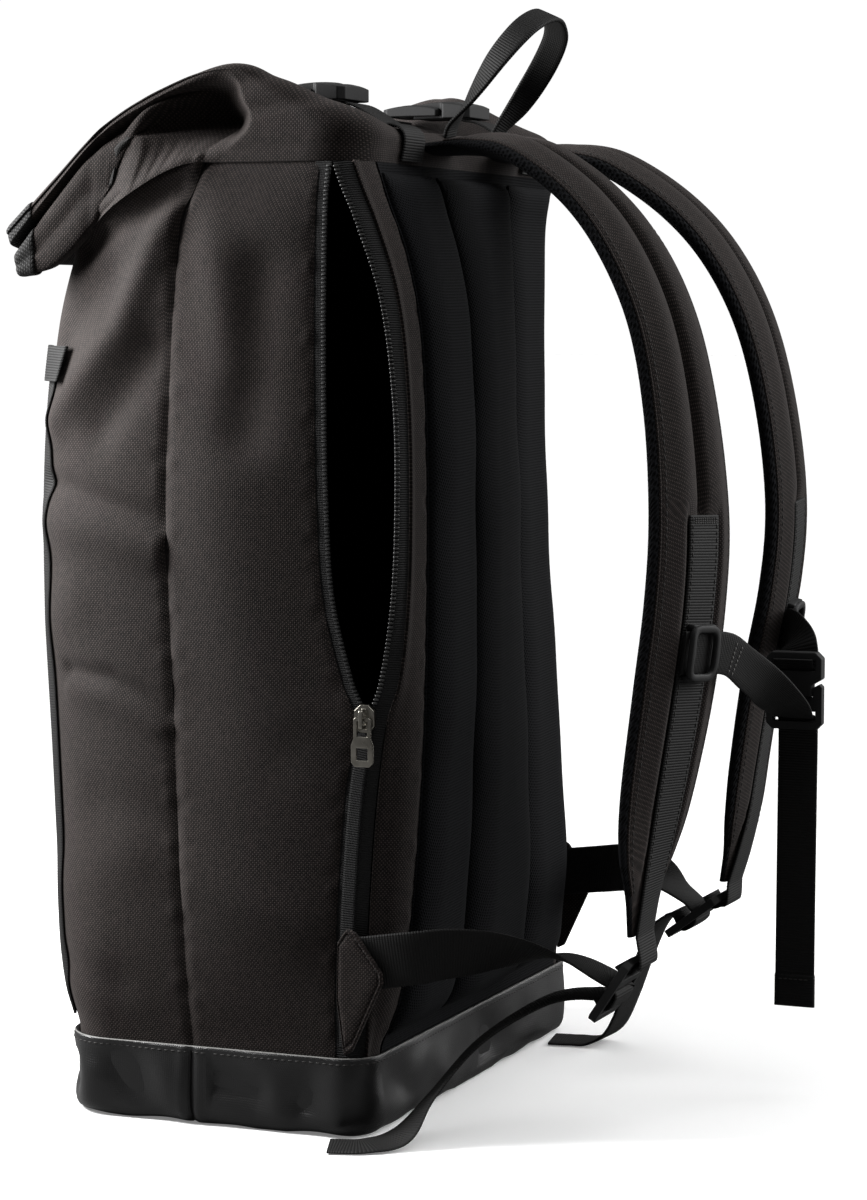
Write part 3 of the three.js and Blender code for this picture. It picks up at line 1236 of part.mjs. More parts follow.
function frontRibbon(low, high, lift, width, thick) {
  const between = PANEL_HEIGHTS.filter((z) => z > low && z < high);
  const stations = [low, ...between, high].map((z) => {
    const station = frontCornerStation(z, lift);
    const x = onFacet(z, (height) => frontCornerStation(height, lift).centre.x);
    const y = onFacet(z, (height) => frontCornerStation(height, lift).centre.y);
    station.centre.set(x, y, z);
    return station;
  });
  return ribbon(stations, width, thick);
}
const webSeat = FRONT_WEB_LIFT + WEB_THICK / 2;
const tabSeat = FRONT_WEB_LIFT + WEB_THICK + CLEAR + FRONT_TAB_THICK / 2;
const frontWeb = frontRibbon(FRONT_WEB_LOW, FRONT_WEB_HIGH, webSeat, FRONT_WEB_WIDTH, WEB_THICK);
const frontTab = frontRibbon(FRONT_TAB_LOW, FRONT_TAB_HIGH, tabSeat, FRONT_TAB_WIDTH, FRONT_TAB_THICK);
addPair([
  { name: "front_strap", geometry: frontWeb, surface: surfaces.webbing },
  { name: "front_tab", geometry: frontTab, surface: surfaces.webbing },
]);

export default backpack;
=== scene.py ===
import math

import bmesh
import bpy
import numpy as np
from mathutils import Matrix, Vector


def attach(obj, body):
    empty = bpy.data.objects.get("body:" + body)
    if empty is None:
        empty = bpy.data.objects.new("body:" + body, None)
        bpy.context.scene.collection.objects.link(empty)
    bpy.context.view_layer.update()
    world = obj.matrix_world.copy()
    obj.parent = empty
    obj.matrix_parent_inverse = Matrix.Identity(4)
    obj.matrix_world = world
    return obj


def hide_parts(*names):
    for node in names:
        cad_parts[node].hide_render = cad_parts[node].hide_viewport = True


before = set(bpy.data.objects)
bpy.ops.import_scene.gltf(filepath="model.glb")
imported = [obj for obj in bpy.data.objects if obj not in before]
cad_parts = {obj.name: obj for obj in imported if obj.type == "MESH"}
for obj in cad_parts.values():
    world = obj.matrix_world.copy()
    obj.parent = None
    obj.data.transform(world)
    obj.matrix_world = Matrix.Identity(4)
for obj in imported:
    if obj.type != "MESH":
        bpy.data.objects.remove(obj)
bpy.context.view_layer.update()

# Studio. The camera stands low beside the bag's right rear corner. A pale floor runs out under a white sky,
# with one near soft box at the front of the bag and weaker light from above and behind.
VIEW_TURN, VIEW_TILT = math.radians(21.94), math.radians(4.778)
SKY_SEEN, SKY_LIGHT = 0.92, 0.1
FLOOR_REACH, FLOOR_GLOSS = 30, 0.08


class Wire:
    """One socket of a tree of nodes. Plain arithmetic on it adds the Math nodes."""

    def __init__(self, owner, socket):
        self.owner, self.socket = owner, socket

    def math(self, operation, *others):
        values = dict(enumerate((self, *others)))
        return self.owner.node("ShaderNodeMath", {"operation": operation}, values)

    def before(self, operation, other):
        return self.owner.node("ShaderNodeMath", {"operation": operation}, {0: other, 1: self})

    def __add__(self, other):
        return self.math("ADD", other)

    def __radd__(self, other):
        return self.before("ADD", other)

    def __sub__(self, other):
        return self.math("SUBTRACT", other)

    def __rsub__(self, other):
        return self.before("SUBTRACT", other)

    def __mul__(self, other):
        return self.math("MULTIPLY", other)

    def __rmul__(self, other):
        return self.before("MULTIPLY", other)

    def __abs__(self):
        return self.math("ABSOLUTE")

    def sine(self):
        return self.math("SINE")

    def cosine(self):
        return self.math("COSINE")

    def above(self, level):
        return self.math("GREATER_THAN", level)


class NodeTree:
    """The shader nodes of a finish or of the sky."""

    def __init__(self, tree):
        self.tree = tree

    def node(self, kind, settings, sockets, output=0):
        made = self.tree.nodes.new(kind)
        for setting, value in settings.items():
            setattr(made, setting, value)
        for socket, value in sockets.items():
            if isinstance(value, Wire):
                self.join(value, made.inputs[socket])
            else:
                made.inputs[socket].default_value = value
        return Wire(self, made.outputs[output])

    def join(self, wire, socket):
        self.tree.links.new(wire.socket, socket)


class Finish(NodeTree):
    """A procedural material. Its constants are set on the shader, and its nodes feed the rest."""

    def __init__(self, name, constants):
        self.material = bpy.data.materials.new(name)
        self.material.use_nodes = True
        super().__init__(self.material.node_tree)
        self.shader = self.tree.nodes["Principled BSDF"]
        for socket, value in constants.items():
            self.shader.inputs[socket].default_value = value

    def feed(self, socket, wire):
        self.join(wire, self.shader.inputs[socket])

    def span(self):
        """Place on the flat cloth: across and along, in metres."""
        flat = self.node("ShaderNodeUVMap", {"uv_map": "cloth"}, {})
        return [self.node("ShaderNodeSeparateXYZ", {}, {0: flat}, output) for output in (0, 1)]

    def noise(self, scale, detail):
        place = self.node("ShaderNodeTexCoord", {}, {}, "Object")
        return self.node("ShaderNodeTexNoise", {}, {"Vector": place, "Scale": scale, "Detail": detail})

    def tinted(self, share, dark, light):
        """Base Color between a dark and a light tone."""
        pair = {0: share, 6: (*dark, 1), 7: (*light, 1)}
        self.feed("Base Color", self.node("ShaderNodeMix", {"data_type": "RGBA"}, pair, 2))

    def bumped(self, height, depth, strength):
        sockets = {"Strength": strength, "Distance": depth, "Height": height}
        self.feed("Normal", self.node("ShaderNodeBump", {}, sockets))


toward_camera = Vector((
    math.cos(VIEW_TURN) * math.cos(VIEW_TILT),
    math.sin(VIEW_TURN) * math.cos(VIEW_TILT),
    math.sin(VIEW_TILT),
))
camera = bpy.data.objects.new("camera", bpy.data.cameras.new("camera"))
camera.data.lens = 102
camera.data.sensor_width = 36
camera.location = (1.5651, 0.6889, 0.3815)
camera.rotation_euler = toward_camera.to_track_quat("Z", "Y").to_euler()
bpy.context.scene.collection.objects.link(camera)
bpy.context.scene.camera = camera
bpy.context.scene.view_settings.view_transform = "Standard"

sky = bpy.data.worlds.new("sky")
sky.use_nodes = True
sky_glow = sky.node_tree.nodes["Background"]
sky_glow.inputs["Color"].default_value = (1, 1, 1, 1)
sky_nodes = NodeTree(sky.node_tree)
sky_seen = sky_nodes.node("ShaderNodeLightPath", {}, {}, "Is Camera Ray")
sky_nodes.join(sky_seen * SKY_SEEN + SKY_LIGHT, sky_glow.inputs["Strength"])
bpy.context.scene.world = sky


def lamp_towards(name, light, towards):
    lamp = bpy.data.objects.new(name, light)
    lamp.rotation_euler = Vector(towards).to_track_quat("Z", "Y").to_euler()
    bpy.context.scene.collection.objects.link(lamp)
    return lamp


front_box = bpy.data.lights.new("front_box", "AREA")
front_box.energy = 17.5
front_box.size = 0.4
front_lamp = lamp_towards("front_box", front_box, (0.18, -0.38, 0.21))
front_lamp.location = (0.255, -0.52, 0.56)
front_lamp.visible_camera = False
for name, towards, strength, spread in (
    ("top_light", (-0.1, 0.35, 1.0), 2.0, 60),
    ("back_fill", (-0.68, 0.72, 0.38), 2.5, 45),
):
    sun = bpy.data.lights.new(name, "SUN")
    sun.energy = strength
    sun.angle = math.radians(spread)
    lamp_towards(name, sun, towards)

floor_mesh = bpy.data.meshes.new("floor")
floor_corners = [(FLOOR_REACH * x, FLOOR_REACH * y, 0) for x, y in ((-1, -1), (1, -1), (1, 1), (-1, 1))]
floor_mesh.from_pydata(floor_corners, [], [(0, 1, 2, 3)])
floor = bpy.data.objects.new("floor", floor_mesh)
paper = Finish("floor_paper", {
    "Base Color": (0.9, 0.9, 0.9, 1),
    "Roughness": 0.9,
    "Specular IOR Level": 0.1,
    "Emission Color": (1, 1, 1, 1),
    "Emission Strength": 0.18,
})
paper_bounce = paper.node("ShaderNodeBsdfDiffuse", {}, {"Color": (0.12, 0.12, 0.12, 1)})
paper_seen = paper.node("ShaderNodeLightPath", {}, {}, "Is Camera Ray")
paper_glossy = paper.node("ShaderNodeLightPath", {}, {}, "Is Glossy Ray")
paper_face = Wire(paper, paper.shader.outputs[0])
paper_layers = {0: paper_glossy * FLOOR_GLOSS + paper_seen, 1: paper_bounce, 2: paper_face}
paper_surface = paper.node("ShaderNodeMixShader", {}, paper_layers)
paper.join(paper_surface, paper.tree.nodes["Material Output"].inputs["Surface"])
floor_mesh.materials.append(paper.material)
bpy.context.scene.collection.objects.link(floor)

# Body panels. Front, sides and the strip behind the zip are cut from one heavy woven polyester, joined by
# pinched vertical seams and sewn into the base band. The cloth bulges and folds softly between the seams.
MM = 0.001
CLOTH = 2.0
TAPE_WIDTH, FRONT_TAPE, TEETH_GAP = 9.5, 6.2, 0.9
PAD_EDGE = 118.0
FRONT_POINTS = 200
PANEL_FOOT, PANEL_TOP, PANEL_ROWS = 28, 452, 180
CHEEK_FOOT, CHEEK_LOW, CHEEK_HIGH, CHEEK_TOP = 60, 130, 405, 450
SEAM_DEPTH, SEAM_WIDTH = 1.5, 2.4
PUCKER_RISE, PUCKER_LENGTHS = 0.22, (11, 17, 29)
FOLD_FOOT, FOLD_LOW = 38, 80
FOLD_FADE, FOLD_END = 72, 92
FAR_SHARE, FAR_RISE, FAR_LEAN = 0.8, 14, 0.4
SIDE_CROWN, SIDE_CROWN_LOW, SIDE_CROWN_HIGH = 4.6, 110, 410
TOP_TUCK, TOP_TUCK_WIDTH = 1.2, 2.2
LEFT_FOLDS_HIGH = 430
ZIP_LIP, ZIP_LIP_WIDTH = 1.4, 3.0
SHARP_TURN = math.radians(58)
BODY = (
    ("z", "half", "front", "back", "gape", "bow", "front_round", "back_round"),
    (28, 137.4, -80, 80, 0, 0, 28, 22),
    (40, 137.4, -80, 80, 0, 0, 28, 22),
    (62, 139.6, -88, 82, 7, 3, 34, 24),
    (100, 141, -94, 84, 11, 5, 40, 26),
    (175, 142.4, -99, 80, 21, 7, 45, 26),
    (245, 143, -102, 75, 28, 8, 45, 26),
    (317, 143, -101, 72, 31, 8, 45, 26),
    (375, 142, -95, 71, 29, 6, 45, 26),
    (410, 140.6, -85, 71, 22, 3, 42, 26),
    (434, 139.4, -73, 73, 11, 1, 36, 26),
    (452, 138, -60, 78, 0, 0, 30, 26),
)
SIDE = (
    ("z", "seam", "front_teeth", "back_teeth"),
    (28, -9, 70, 70),
    (83, -12, 72, 72),
    (113, -13, 73.5, 73.5),
    (160, -15, 77.5, 77.5),
    (197, -16, 83, 83),
    (214, -16.5, 76.5, 89),
    (252, -18, 67, 95),
    (297, -19, 64, 97),
    (340, -17.5, 63, 96),
    (389, -15, 62.5, 89),
    (425, -11, 62.5, 76),
    (440, -5, 63, 69),
    (452, 0, 64, 64),
)
# Each fold is a soft ridge or valley with its width, its rise and the points of its line, which are measured
# from the seam and up from the floor.
FRONT_FOLDS = (
    ("width", "rise", "line"),
    (10, 4.4, ((6, 430), (28, 376), (72, 332))),
    (6, 3.2, ((2, 453), (28, 442), (56, 429), (78, 418))),
    (7, -4.0, ((8, 438), (34, 427), (62, 413))),
    (12, -3.0, ((42, 402), (68, 374))),
    (11, -3.6, ((8, 366), (38, 330))),
    (5.5, -2.8, ((4, 286), (30, 293), (58, 300), (88, 303))),
    (11, 3.2, ((6, 272), (40, 280), (90, 284))),
    (15, 1.8, ((58, 248), (84, 232))),
    (4.2, -2.8, ((2, 196), (16, 204), (34, 211), (64, 213))),
    (6, 1.5, ((10, 190), (34, 200), (62, 203))),
    (16, 1.6, ((30, 126), (80, 108))),
    (12, -1.2, ((0, 146), (44, 152))),
    (10, -2.0, ((38, 62), (70, 70))),
)
SIDE_FOLDS = (
    ("width", "rise", "line"),
    (14, 2.2, ((14, 440), (40, 360))),
    (14, -3.2, ((52, 400), (46, 330))),
    (26, 2.0, ((30, 300), (40, 200))),
    (14, -1.4, ((10, 200), (50, 180))),
    (16, 1.8, ((8, 120), (60, 96))),
)


def along_rows(rows, key, at):
    """A column's value between its rows, on a smooth curve through them."""
    body = np.array(rows[1:], float)
    knots, values = body[:, 0], body[:, rows[0].index(key)]
    at = np.asarray(at, float)
    low = np.clip(np.searchsorted(knots, at) - 1, 0, len(knots) - 2)
    high = low + 1
    before, after = np.maximum(low - 1, 0), np.minimum(high + 1, len(knots) - 1)
    span = knots[high] - knots[low]
    share = np.clip((at - knots[low]) / span, 0, 1)
    slope_low = (values[high] - values[before]) / (knots[high] - knots[before]) * span
    slope_high = (values[after] - values[low]) / (knots[after] - knots[low]) * span
    square, cube = share**2, share**3
    lower = (2 * cube - 3 * square + 1) * values[low] + (cube - 2 * square + share) * slope_low
    upper = (3 * square - 2 * cube) * values[high] + (cube - square) * slope_high
    return lower + upper


def eased(at, low, high):
    share = np.clip((np.asarray(at, float) - low) / (high - low), 0, 1)
    return share * share * (3 - 2 * share)


def unit(vectors):
    return vectors / np.maximum(np.linalg.norm(vectors, axis=-1, keepdims=True), 1e-12)


def back_at(x, z):
    return along_rows(BODY, "back", z) + along_rows(BODY, "gape", z) * eased(x, -PAD_EDGE, PAD_EDGE)


def arc(centre_x, centre_y, radius, start, end, steps):
    turn = np.linspace(start, end, steps)
    return np.stack([centre_x + radius * np.cos(turn), centre_y + radius * np.sin(turn)], 1)


def bent(start, bend, end, shares):
    shares = np.asarray(shares, float)[:, None]
    curve = (1 - shares) ** 2 * np.array(start) + 2 * shares * (1 - shares) * np.array(bend)
    return curve + shares**2 * np.array(end)


def run_along(points):
    """Distance along a line of points, from its first one."""
    steps = np.linalg.norm(np.diff(points, axis=0), axis=1)
    return np.concatenate([[0], np.cumsum(steps)])


def at_run(where, run, values):
    """Values between those of a line's points, at distances along it."""
    return np.stack([np.interp(where, run, column) for column in values.T], -1)


def evenly(points, count):
    """The same line with its points spread evenly along it."""
    run = run_along(points)
    return at_run(np.linspace(0, run[-1], count), run, points)


def front_line(z):
    half, front = along_rows(BODY, "half", z), along_rows(BODY, "front", z)
    bow, radius = along_rows(BODY, "bow", z), along_rows(BODY, "front_round", z)
    seam = along_rows(SIDE, "seam", z)
    flat = half - radius
    across = np.linspace(flat, -flat, 42)[1:-1]
    face = np.stack([across, front - bow * (1 - (across / flat) ** 2)], 1)
    right = arc(flat, front + radius, radius, 0, -math.pi / 2, 22)
    left = arc(-flat, front + radius, radius, -math.pi / 2, -math.pi, 22)
    sewn = evenly(np.concatenate([[(half, seam)], right, face, left, [(-half, seam)]]), FRONT_POINTS)
    turn = np.linspace(0, math.pi / 2, 40)
    cheek = np.stack([flat + radius * np.cos(turn), seam + (front - seam) * np.sin(turn)], 1)
    cheeks = np.concatenate([cheek, face, cheek[::-1] * np.array([-1, 1])])
    full = float(eased(z, CHEEK_FOOT, CHEEK_LOW) * (1 - eased(z, CHEEK_HIGH, CHEEK_TOP)))
    return sewn * (1 - full) + evenly(cheeks, FRONT_POINTS) * full


def right_line(z):
    half = along_rows(BODY, "half", z)
    edge = along_rows(SIDE, "front_teeth", z) - FRONT_TAPE
    return np.stack([np.full(40, half), np.linspace(along_rows(SIDE, "seam", z), edge, 40)], 1)


def left_line(z):
    half, rear = along_rows(BODY, "half", z), back_at(-PAD_EDGE, z)
    turn = along_rows(BODY, "back_round", z)
    corner = bent((-half, rear - turn), (-half + 1, rear - 1), (-PAD_EDGE, rear), np.linspace(0, 1, 16))
    return evenly(np.concatenate([[(-half, along_rows(SIDE, "seam", z))], corner]), 56)


def back_line(z):
    across = np.linspace(-PAD_EDGE, PAD_EDGE, 60)
    return np.stack([across, back_at(across, z)], 1)


def rear_corner(z, shares):
    """The corner from the back pads round to the zip's rear teeth."""
    half, edge = along_rows(BODY, "half", z), back_at(PAD_EDGE, z)
    teeth = along_rows(SIDE, "back_teeth", z) + TEETH_GAP / 2
    curve = bent((PAD_EDGE, edge), (half - 3, max(edge - 2, teeth)), (half, teeth), np.linspace(0, 1, 40))
    run = run_along(curve)
    return at_run(shares(run[-1]) * run[-1], run, curve)


def gusset_line(z):
    return rear_corner(z, lambda length: np.linspace(0, 1 - TAPE_WIDTH / length, 22))


def upright(line, heights):
    """A grid of points from an outline that changes with height."""
    rows = []
    for z in heights:
        outline = line(float(z))
        rows.append(np.concatenate([outline, np.full((len(outline), 1), z)], 1))
    return np.array(rows)


def facing(grid, outward, around=False):
    """Unit vectors square to a grid of points, turned to the side that outward names."""
    if around:
        sideways = np.roll(grid, -1, 1) - np.roll(grid, 1, 1)
    else:
        sideways = np.gradient(grid, axis=1)
    normals = unit(np.cross(sideways, np.gradient(grid, axis=0)))
    return normals if (normals * outward).sum() >= 0 else -normals


def row_run(grid):
    """Distance along the middle row of a grid."""
    return run_along(grid[len(grid) // 2])


def folded(across, up, folds):
    """How far soft folds lift or sink each point of a panel."""
    spots = np.stack(np.broadcast_arrays(across[None, :], up[:, None]), -1)
    rise = np.zeros(spots.shape[:2])
    for width, height, line in folds[1:]:
        near = np.full(spots.shape[:2], np.inf)
        for start, end in zip(np.array(line[:-1], float), np.array(line[1:], float)):
            run, away = end - start, spots - start
            share = np.clip((away @ run) / (run @ run), 0, 1)
            near = np.minimum(near, np.linalg.norm(away - share[..., None] * run, axis=-1))
        rise += height * np.exp(-((near / width) ** 2))
    return rise


def pinched(across, up, depth, width, seed):
    """The dip and the small puckers along a seam at the start of a panel."""
    rng = np.random.default_rng(seed)
    waves = sum(np.sin(up * 2 * math.pi / length + rng.uniform(0, 6)) for length in PUCKER_LENGTHS)
    beside = np.exp(-((across[None, :] - width * 1.6) / (width * 1.4)) ** 2)
    pucker = PUCKER_RISE * waves[:, None] * beside
    return pucker - depth * np.exp(-((across[None, :] / width) ** 2))


def new_piece(name, points, faces, spans, finishes, which=None):
    """A mesh in metres from points in millimetres. spans gives each corner's place on the flat cloth."""
    mesh = bpy.data.meshes.new(name)
    mesh.from_pydata((np.asarray(points) * MM).tolist(), [], [list(map(int, face)) for face in faces])
    layer = mesh.uv_layers.new(name="cloth")
    flat = np.concatenate([np.asarray(span, np.float32).reshape(-1, 2) for span in spans]) * MM
    layer.uv.foreach_set("vector", flat.astype(np.float32).ravel())
    for finish in finishes:
        mesh.materials.append(finish.material)
    if which is not None:
        mesh.polygons.foreach_set("material_index", np.asarray(which, np.int32))
    mesh.polygons.foreach_set("use_smooth", np.ones(len(mesh.polygons), bool))
    mesh.update()
    piece = bpy.data.objects.new(name, mesh)
    bpy.context.scene.collection.objects.link(piece)
    return piece


def flat_places(grid, around):
    """Each point's place on the flat cloth: distance along its row and up its column."""
    along_row = np.linalg.norm(np.diff(grid, axis=1), axis=2)
    along_column = np.linalg.norm(np.diff(grid, axis=0), axis=2)
    across = np.concatenate([np.zeros((len(grid), 1)), np.cumsum(along_row, 1)], 1)
    up = np.concatenate([np.zeros((1, grid.shape[1])), np.cumsum(along_column, 0)])
    if around:
        closing = np.linalg.norm(grid[:, :1] - grid[:, -1:], axis=2)
        across = np.concatenate([across, across[:, -1:] + closing], 1)
        up = np.concatenate([up, up[:, :1]], 1)
    return np.stack([across, up], -1)


def cloth_piece(name, face, back, finishes, around=False, patch=None, ends=None):
    """A closed piece of cloth between a grid on its face and the same grid on its back.

    The first finish is the face's and the last the back's. patch names the face's columns of any other
    finish, and ends the columns whose weave is laid flat on the side wall.
    """
    rows, columns = face.shape[:2]
    place = flat_places(face, around)
    spots = np.arange(rows * columns).reshape(rows, columns)
    shift = rows * columns
    faces, spans, which = [], [], []
    last = columns if around else columns - 1
    patch = np.zeros(last, int) if patch is None else patch
    ends = np.zeros(last, bool) if ends is None else ends
    side_place = np.concatenate([face, face[:, :1]], 1)[..., 1:]
    for row in range(rows - 1):
        for column in range(last):
            laid = side_place if ends[column] else place
            square = (row, column), (row, column + 1), (row + 1, column + 1), (row + 1, column)
            corners = [spots[up, over % columns] for up, over in square]
            span = [laid[spot] for spot in square]
            faces += [corners, [corner + shift for corner in reversed(corners)]]
            spans += [span, span[::-1]]
            which += [patch[column], len(finishes) - 1]
    edges = []
    for column in range(last):
        edges.append(((0, column + 1), (0, column), patch[column]))
        edges.append(((-1, column), (-1, column + 1), patch[column]))
    if not around:
        for row in range(rows - 1):
            edges.append(((row, 0), (row + 1, 0), patch[0]))
            edges.append(((row + 1, -1), (row, -1), patch[-1]))
    for start, end, finish in edges:
        first, second = (spots[row, column % columns] for row, column in (start, end))
        faces.append([first, second, second + shift, first + shift])
        spans.append([place[start], place[end], place[end], place[start]])
        which.append(finish)
    points = np.concatenate([face.reshape(-1, 3), back.reshape(-1, 3)])
    piece = new_piece(name, points, faces, spans, finishes, which)
    turned_out(piece)
    return piece


def sewn_sheet(face, around=False):
    """Work out a piece's flat cut and the cross products across its squares; nothing is declared or returned.
    """
    closed = np.concatenate([face, face[:, :1]], 1) if around else face
    place = flat_places(face, around)
    corners = np.cross(closed[1:, 1:] - closed[:-1, :-1], closed[1:, :-1] - closed[:-1, 1:])


def turned_out(piece):
    work = bmesh.new()
    work.from_mesh(piece.data)
    bmesh.ops.recalc_face_normals(work, faces=work.faces)
    work.to_mesh(piece.data)
    work.free()
    piece.data.set_sharp_from_angle(angle=SHARP_TURN)


def woven(name, dark, light, thread, depth):
    """Plain-woven yarn: each crossing shows one thread, lighter where it lies on top."""
    finish = Finish(name, {
        "Roughness": 0.85,
        "Specular IOR Level": 0.16,
        "Sheen Weight": 0.06,
        "Sheen Roughness": 0.45,
        "Sheen Tint": (1.0, 0.9, 0.88, 1),
    })
    across, along = finish.span()
    warp, weft = (across * (math.pi / thread)).sine(), (along * (math.pi / thread)).sine()
    swell = abs(warp) * abs(weft)
    over = (warp * weft).above(0.0)
    yarn, cloud = finish.noise(420.0, 2.0), finish.noise(7.0, 3.0)
    share = swell * (0.16 + 0.84 * over) + (yarn - 0.5) * 0.5 + (cloud - 0.5) * 0.3 + 0.08
    finish.tinted(share, dark, light)
    finish.bumped(swell * (0.35 + 0.65 * over) + yarn * 0.2, depth, 0.8)
    return finish


cloth = woven("woven_cloth", (0.0022, 0.0017, 0.0015), (0.048, 0.0372, 0.0338), 0.00096, 0.00022)
lining = woven("dark_lining", (0.006, 0.006, 0.006), (0.02, 0.019, 0.019), 0.0007, 0.0003)


def dress(piece, node):
    """Put a piece on the bag in the place of a node's plain solid."""
    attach(piece, "bag")
    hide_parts(node)


def sewn_panel(name, node, face, back, finish):
    """One lined panel of the body, sewn into the base along its foot."""
    piece = cloth_piece(name, face, back, [finish, lining])
    dress(piece, node)
    sewn_sheet(face)


heights = np.linspace(PANEL_FOOT, PANEL_TOP, PANEL_ROWS)
front_grid = upright(front_line, heights)
front_out = facing(front_grid, np.array([0, -1, 0]))
across = row_run(front_grid)
far_across = across[-1] - across
far_folds = [FRONT_FOLDS[0]]
for width, rise, line in FRONT_FOLDS[1:]:
    far_folds.append((width, FAR_SHARE * rise, [(s, z + FAR_RISE - FAR_LEAN * s) for s, z in line]))
shape = folded(across, heights, FRONT_FOLDS) + folded(far_across, heights, far_folds)
shape *= eased(heights, FOLD_FOOT, FOLD_LOW)[:, None]
shape *= (1 - eased(across, FOLD_FADE, FOLD_END) * eased(far_across, FOLD_FADE, FOLD_END))[None, :]
shape += pinched(across, heights, SEAM_DEPTH, SEAM_WIDTH, 3)
shape += pinched(far_across, heights, SEAM_DEPTH, SEAM_WIDTH, 4)
front_face = front_grid + front_out * shape[..., None]
sewn_panel("front_panel_cloth", "front_panel", front_face, front_face - front_out * CLOTH, cloth)

grid = upright(right_line, heights)
outward = facing(grid, np.array([1, 0, 0]))
across = row_run(grid)
crown = 1 - (2 * across / across[-1] - 1) ** 2
shape = folded(across, heights, SIDE_FOLDS) + SIDE_CROWN * crown[None, :]
shape *= eased(heights, FOLD_FOOT, SIDE_CROWN_LOW)[:, None]
shape *= 1 - eased(heights, SIDE_CROWN_HIGH, PANEL_TOP)[:, None]
shape += pinched(across, heights, SEAM_DEPTH, SEAM_WIDTH, 5)
shape += pinched(across[-1] - across, heights, 0.5, 1.6, 6)
shape -= TOP_TUCK * np.exp(-(((PANEL_TOP - heights) / TOP_TUCK_WIDTH) ** 2))[:, None]
face = grid + outward * shape[..., None]
sewn_panel("side_panel_right_cloth", "side_panel_right", face, face - outward * CLOTH, cloth)

grid = upright(left_line, heights)
outward = facing(grid, np.array([-1, 0.3, 0]))
across = row_run(grid)
shape = folded(across, heights, SIDE_FOLDS) * eased(heights, FOLD_FOOT, FOLD_LOW)[:, None]
shape *= 1 - eased(heights, LEFT_FOLDS_HIGH, PANEL_TOP)[:, None]
shape += pinched(across, heights, SEAM_DEPTH, SEAM_WIDTH, 7)
shape += pinched(across[-1] - across, heights, 1.2, 2.0, 8)
face = grid + outward * shape[..., None]
sewn_panel("side_panel_left_cloth", "side_panel_left", face, face - outward * CLOTH, cloth)

grid = upright(gusset_line, heights)
outward = facing(grid, np.array([1, 1, 0]))
across = row_run(grid)
shape = ZIP_LIP * np.exp(-(((across[-1] - across) / ZIP_LIP_WIDTH) ** 2))[None, :]
shape = shape + pinched(across, heights, 0.8, 1.6, 9)
face = grid + outward * shape[..., None]
sewn_panel("zip_gusset_cloth", "zip_gusset", face, grid - outward * CLOTH, cloth)

# Base. A tray of coated fabric, semi-gloss and dark grey, that the panels stand in. Its top edge is turned
# under and stitched. A thin pale line is painted right round the bag on the crest of that edge, as a
# highlight.
BASE_HALF_WIDTH = 140.0
BASE_HALF_DEPTH = 82.5
BAND_HEIGHT = 38.0
BASE_FRONT_ROUND = 30.0
BASE_REAR_ROUND = 18.0
LEAST_ROUND = 4
BASE_POINTS = 640
BASE_RUN = 820.0
BASE_SEAM_Y, BASE_SEAM_DEPTH, BASE_SEAM_WIDTH = -9.0, 2.0, 1.3
BASE_LIP_RISE, BASE_LIP_AT, BASE_LIP_WIDTH = 0.7, 4.5, 2.5
SIDE_BAND = 12
OUTER_ROWS, CREST_HIGHLIGHT_ROW, STITCHED_ROW, SEAM_ROW = 13, 13, 11, 8
FOOT_ROWS, FOOT_HEIGHT = slice(1, 7), 10
DENTS = 34
SCRIM_PITCH = 0.0011
TRAY = (
    ("z", "inset"), (0.0, 30.0), (0.0, 5.0), (0.5, 3.4), (1.9, 1.7), (3.8, 0.7), (6.5, 0.1), (10, 0), (15, 0),
    (20, 0), (26, 0), (31, 0), (35, 0.0), (36.6, -0.15), (37.6, 0.1), (38, 0.6), (38, 1.4), (37.4, 2.2),
    (30, 2.2), (18, 2.2), (6, 2.2), (2.4, 4.5), (2.2, 30.0),
)
BASE_FOLDS = (
    ("width", "rise", "line"),
    (9, 3.0, ((74, 34), (60, 20), (66, 2))),
    (8, -5.2, ((92, 27), (76, 23))),
    (8, -3.2, ((48, 36), (40, 22), (26, 2))),
    (8, 2.0, ((24, 34), (15, 8))),
    (8, -4.0, ((815, 24), (796, 19))),
    (10, 2.6, ((794, 34), (782, 6))),
    (7, -3.0, ((768, 36), (775, 10))),
    (8, 2.4, ((752, 30), (757, 4))),
    (10, -2.4, ((724, 32), (702, 10))),
    (12, 2.0, ((680, 30), (650, 8))),
    (10, -2.2, ((610, 34), (590, 6))),
)


def base_outline(inset):
    half_x, half_y = BASE_HALF_WIDTH - inset, BASE_HALF_DEPTH - inset
    front, rear = max(BASE_FRONT_ROUND - inset, LEAST_ROUND), max(BASE_REAR_ROUND - inset, LEAST_ROUND)
    quarter = math.pi / 2
    ring = np.concatenate([
        [(half_x, 0)],
        arc(half_x - front, front - half_y, front, 0, -quarter, 26),
        arc(front - half_x, front - half_y, front, -quarter, -2 * quarter, 26),
        arc(rear - half_x, half_y - rear, rear, 2 * quarter, quarter, 20),
        arc(half_x - rear, half_y - rear, rear, quarter, 0, 20),
        [(half_x, 0)],
    ])
    return evenly(ring, BASE_POINTS + 1)[:-1]


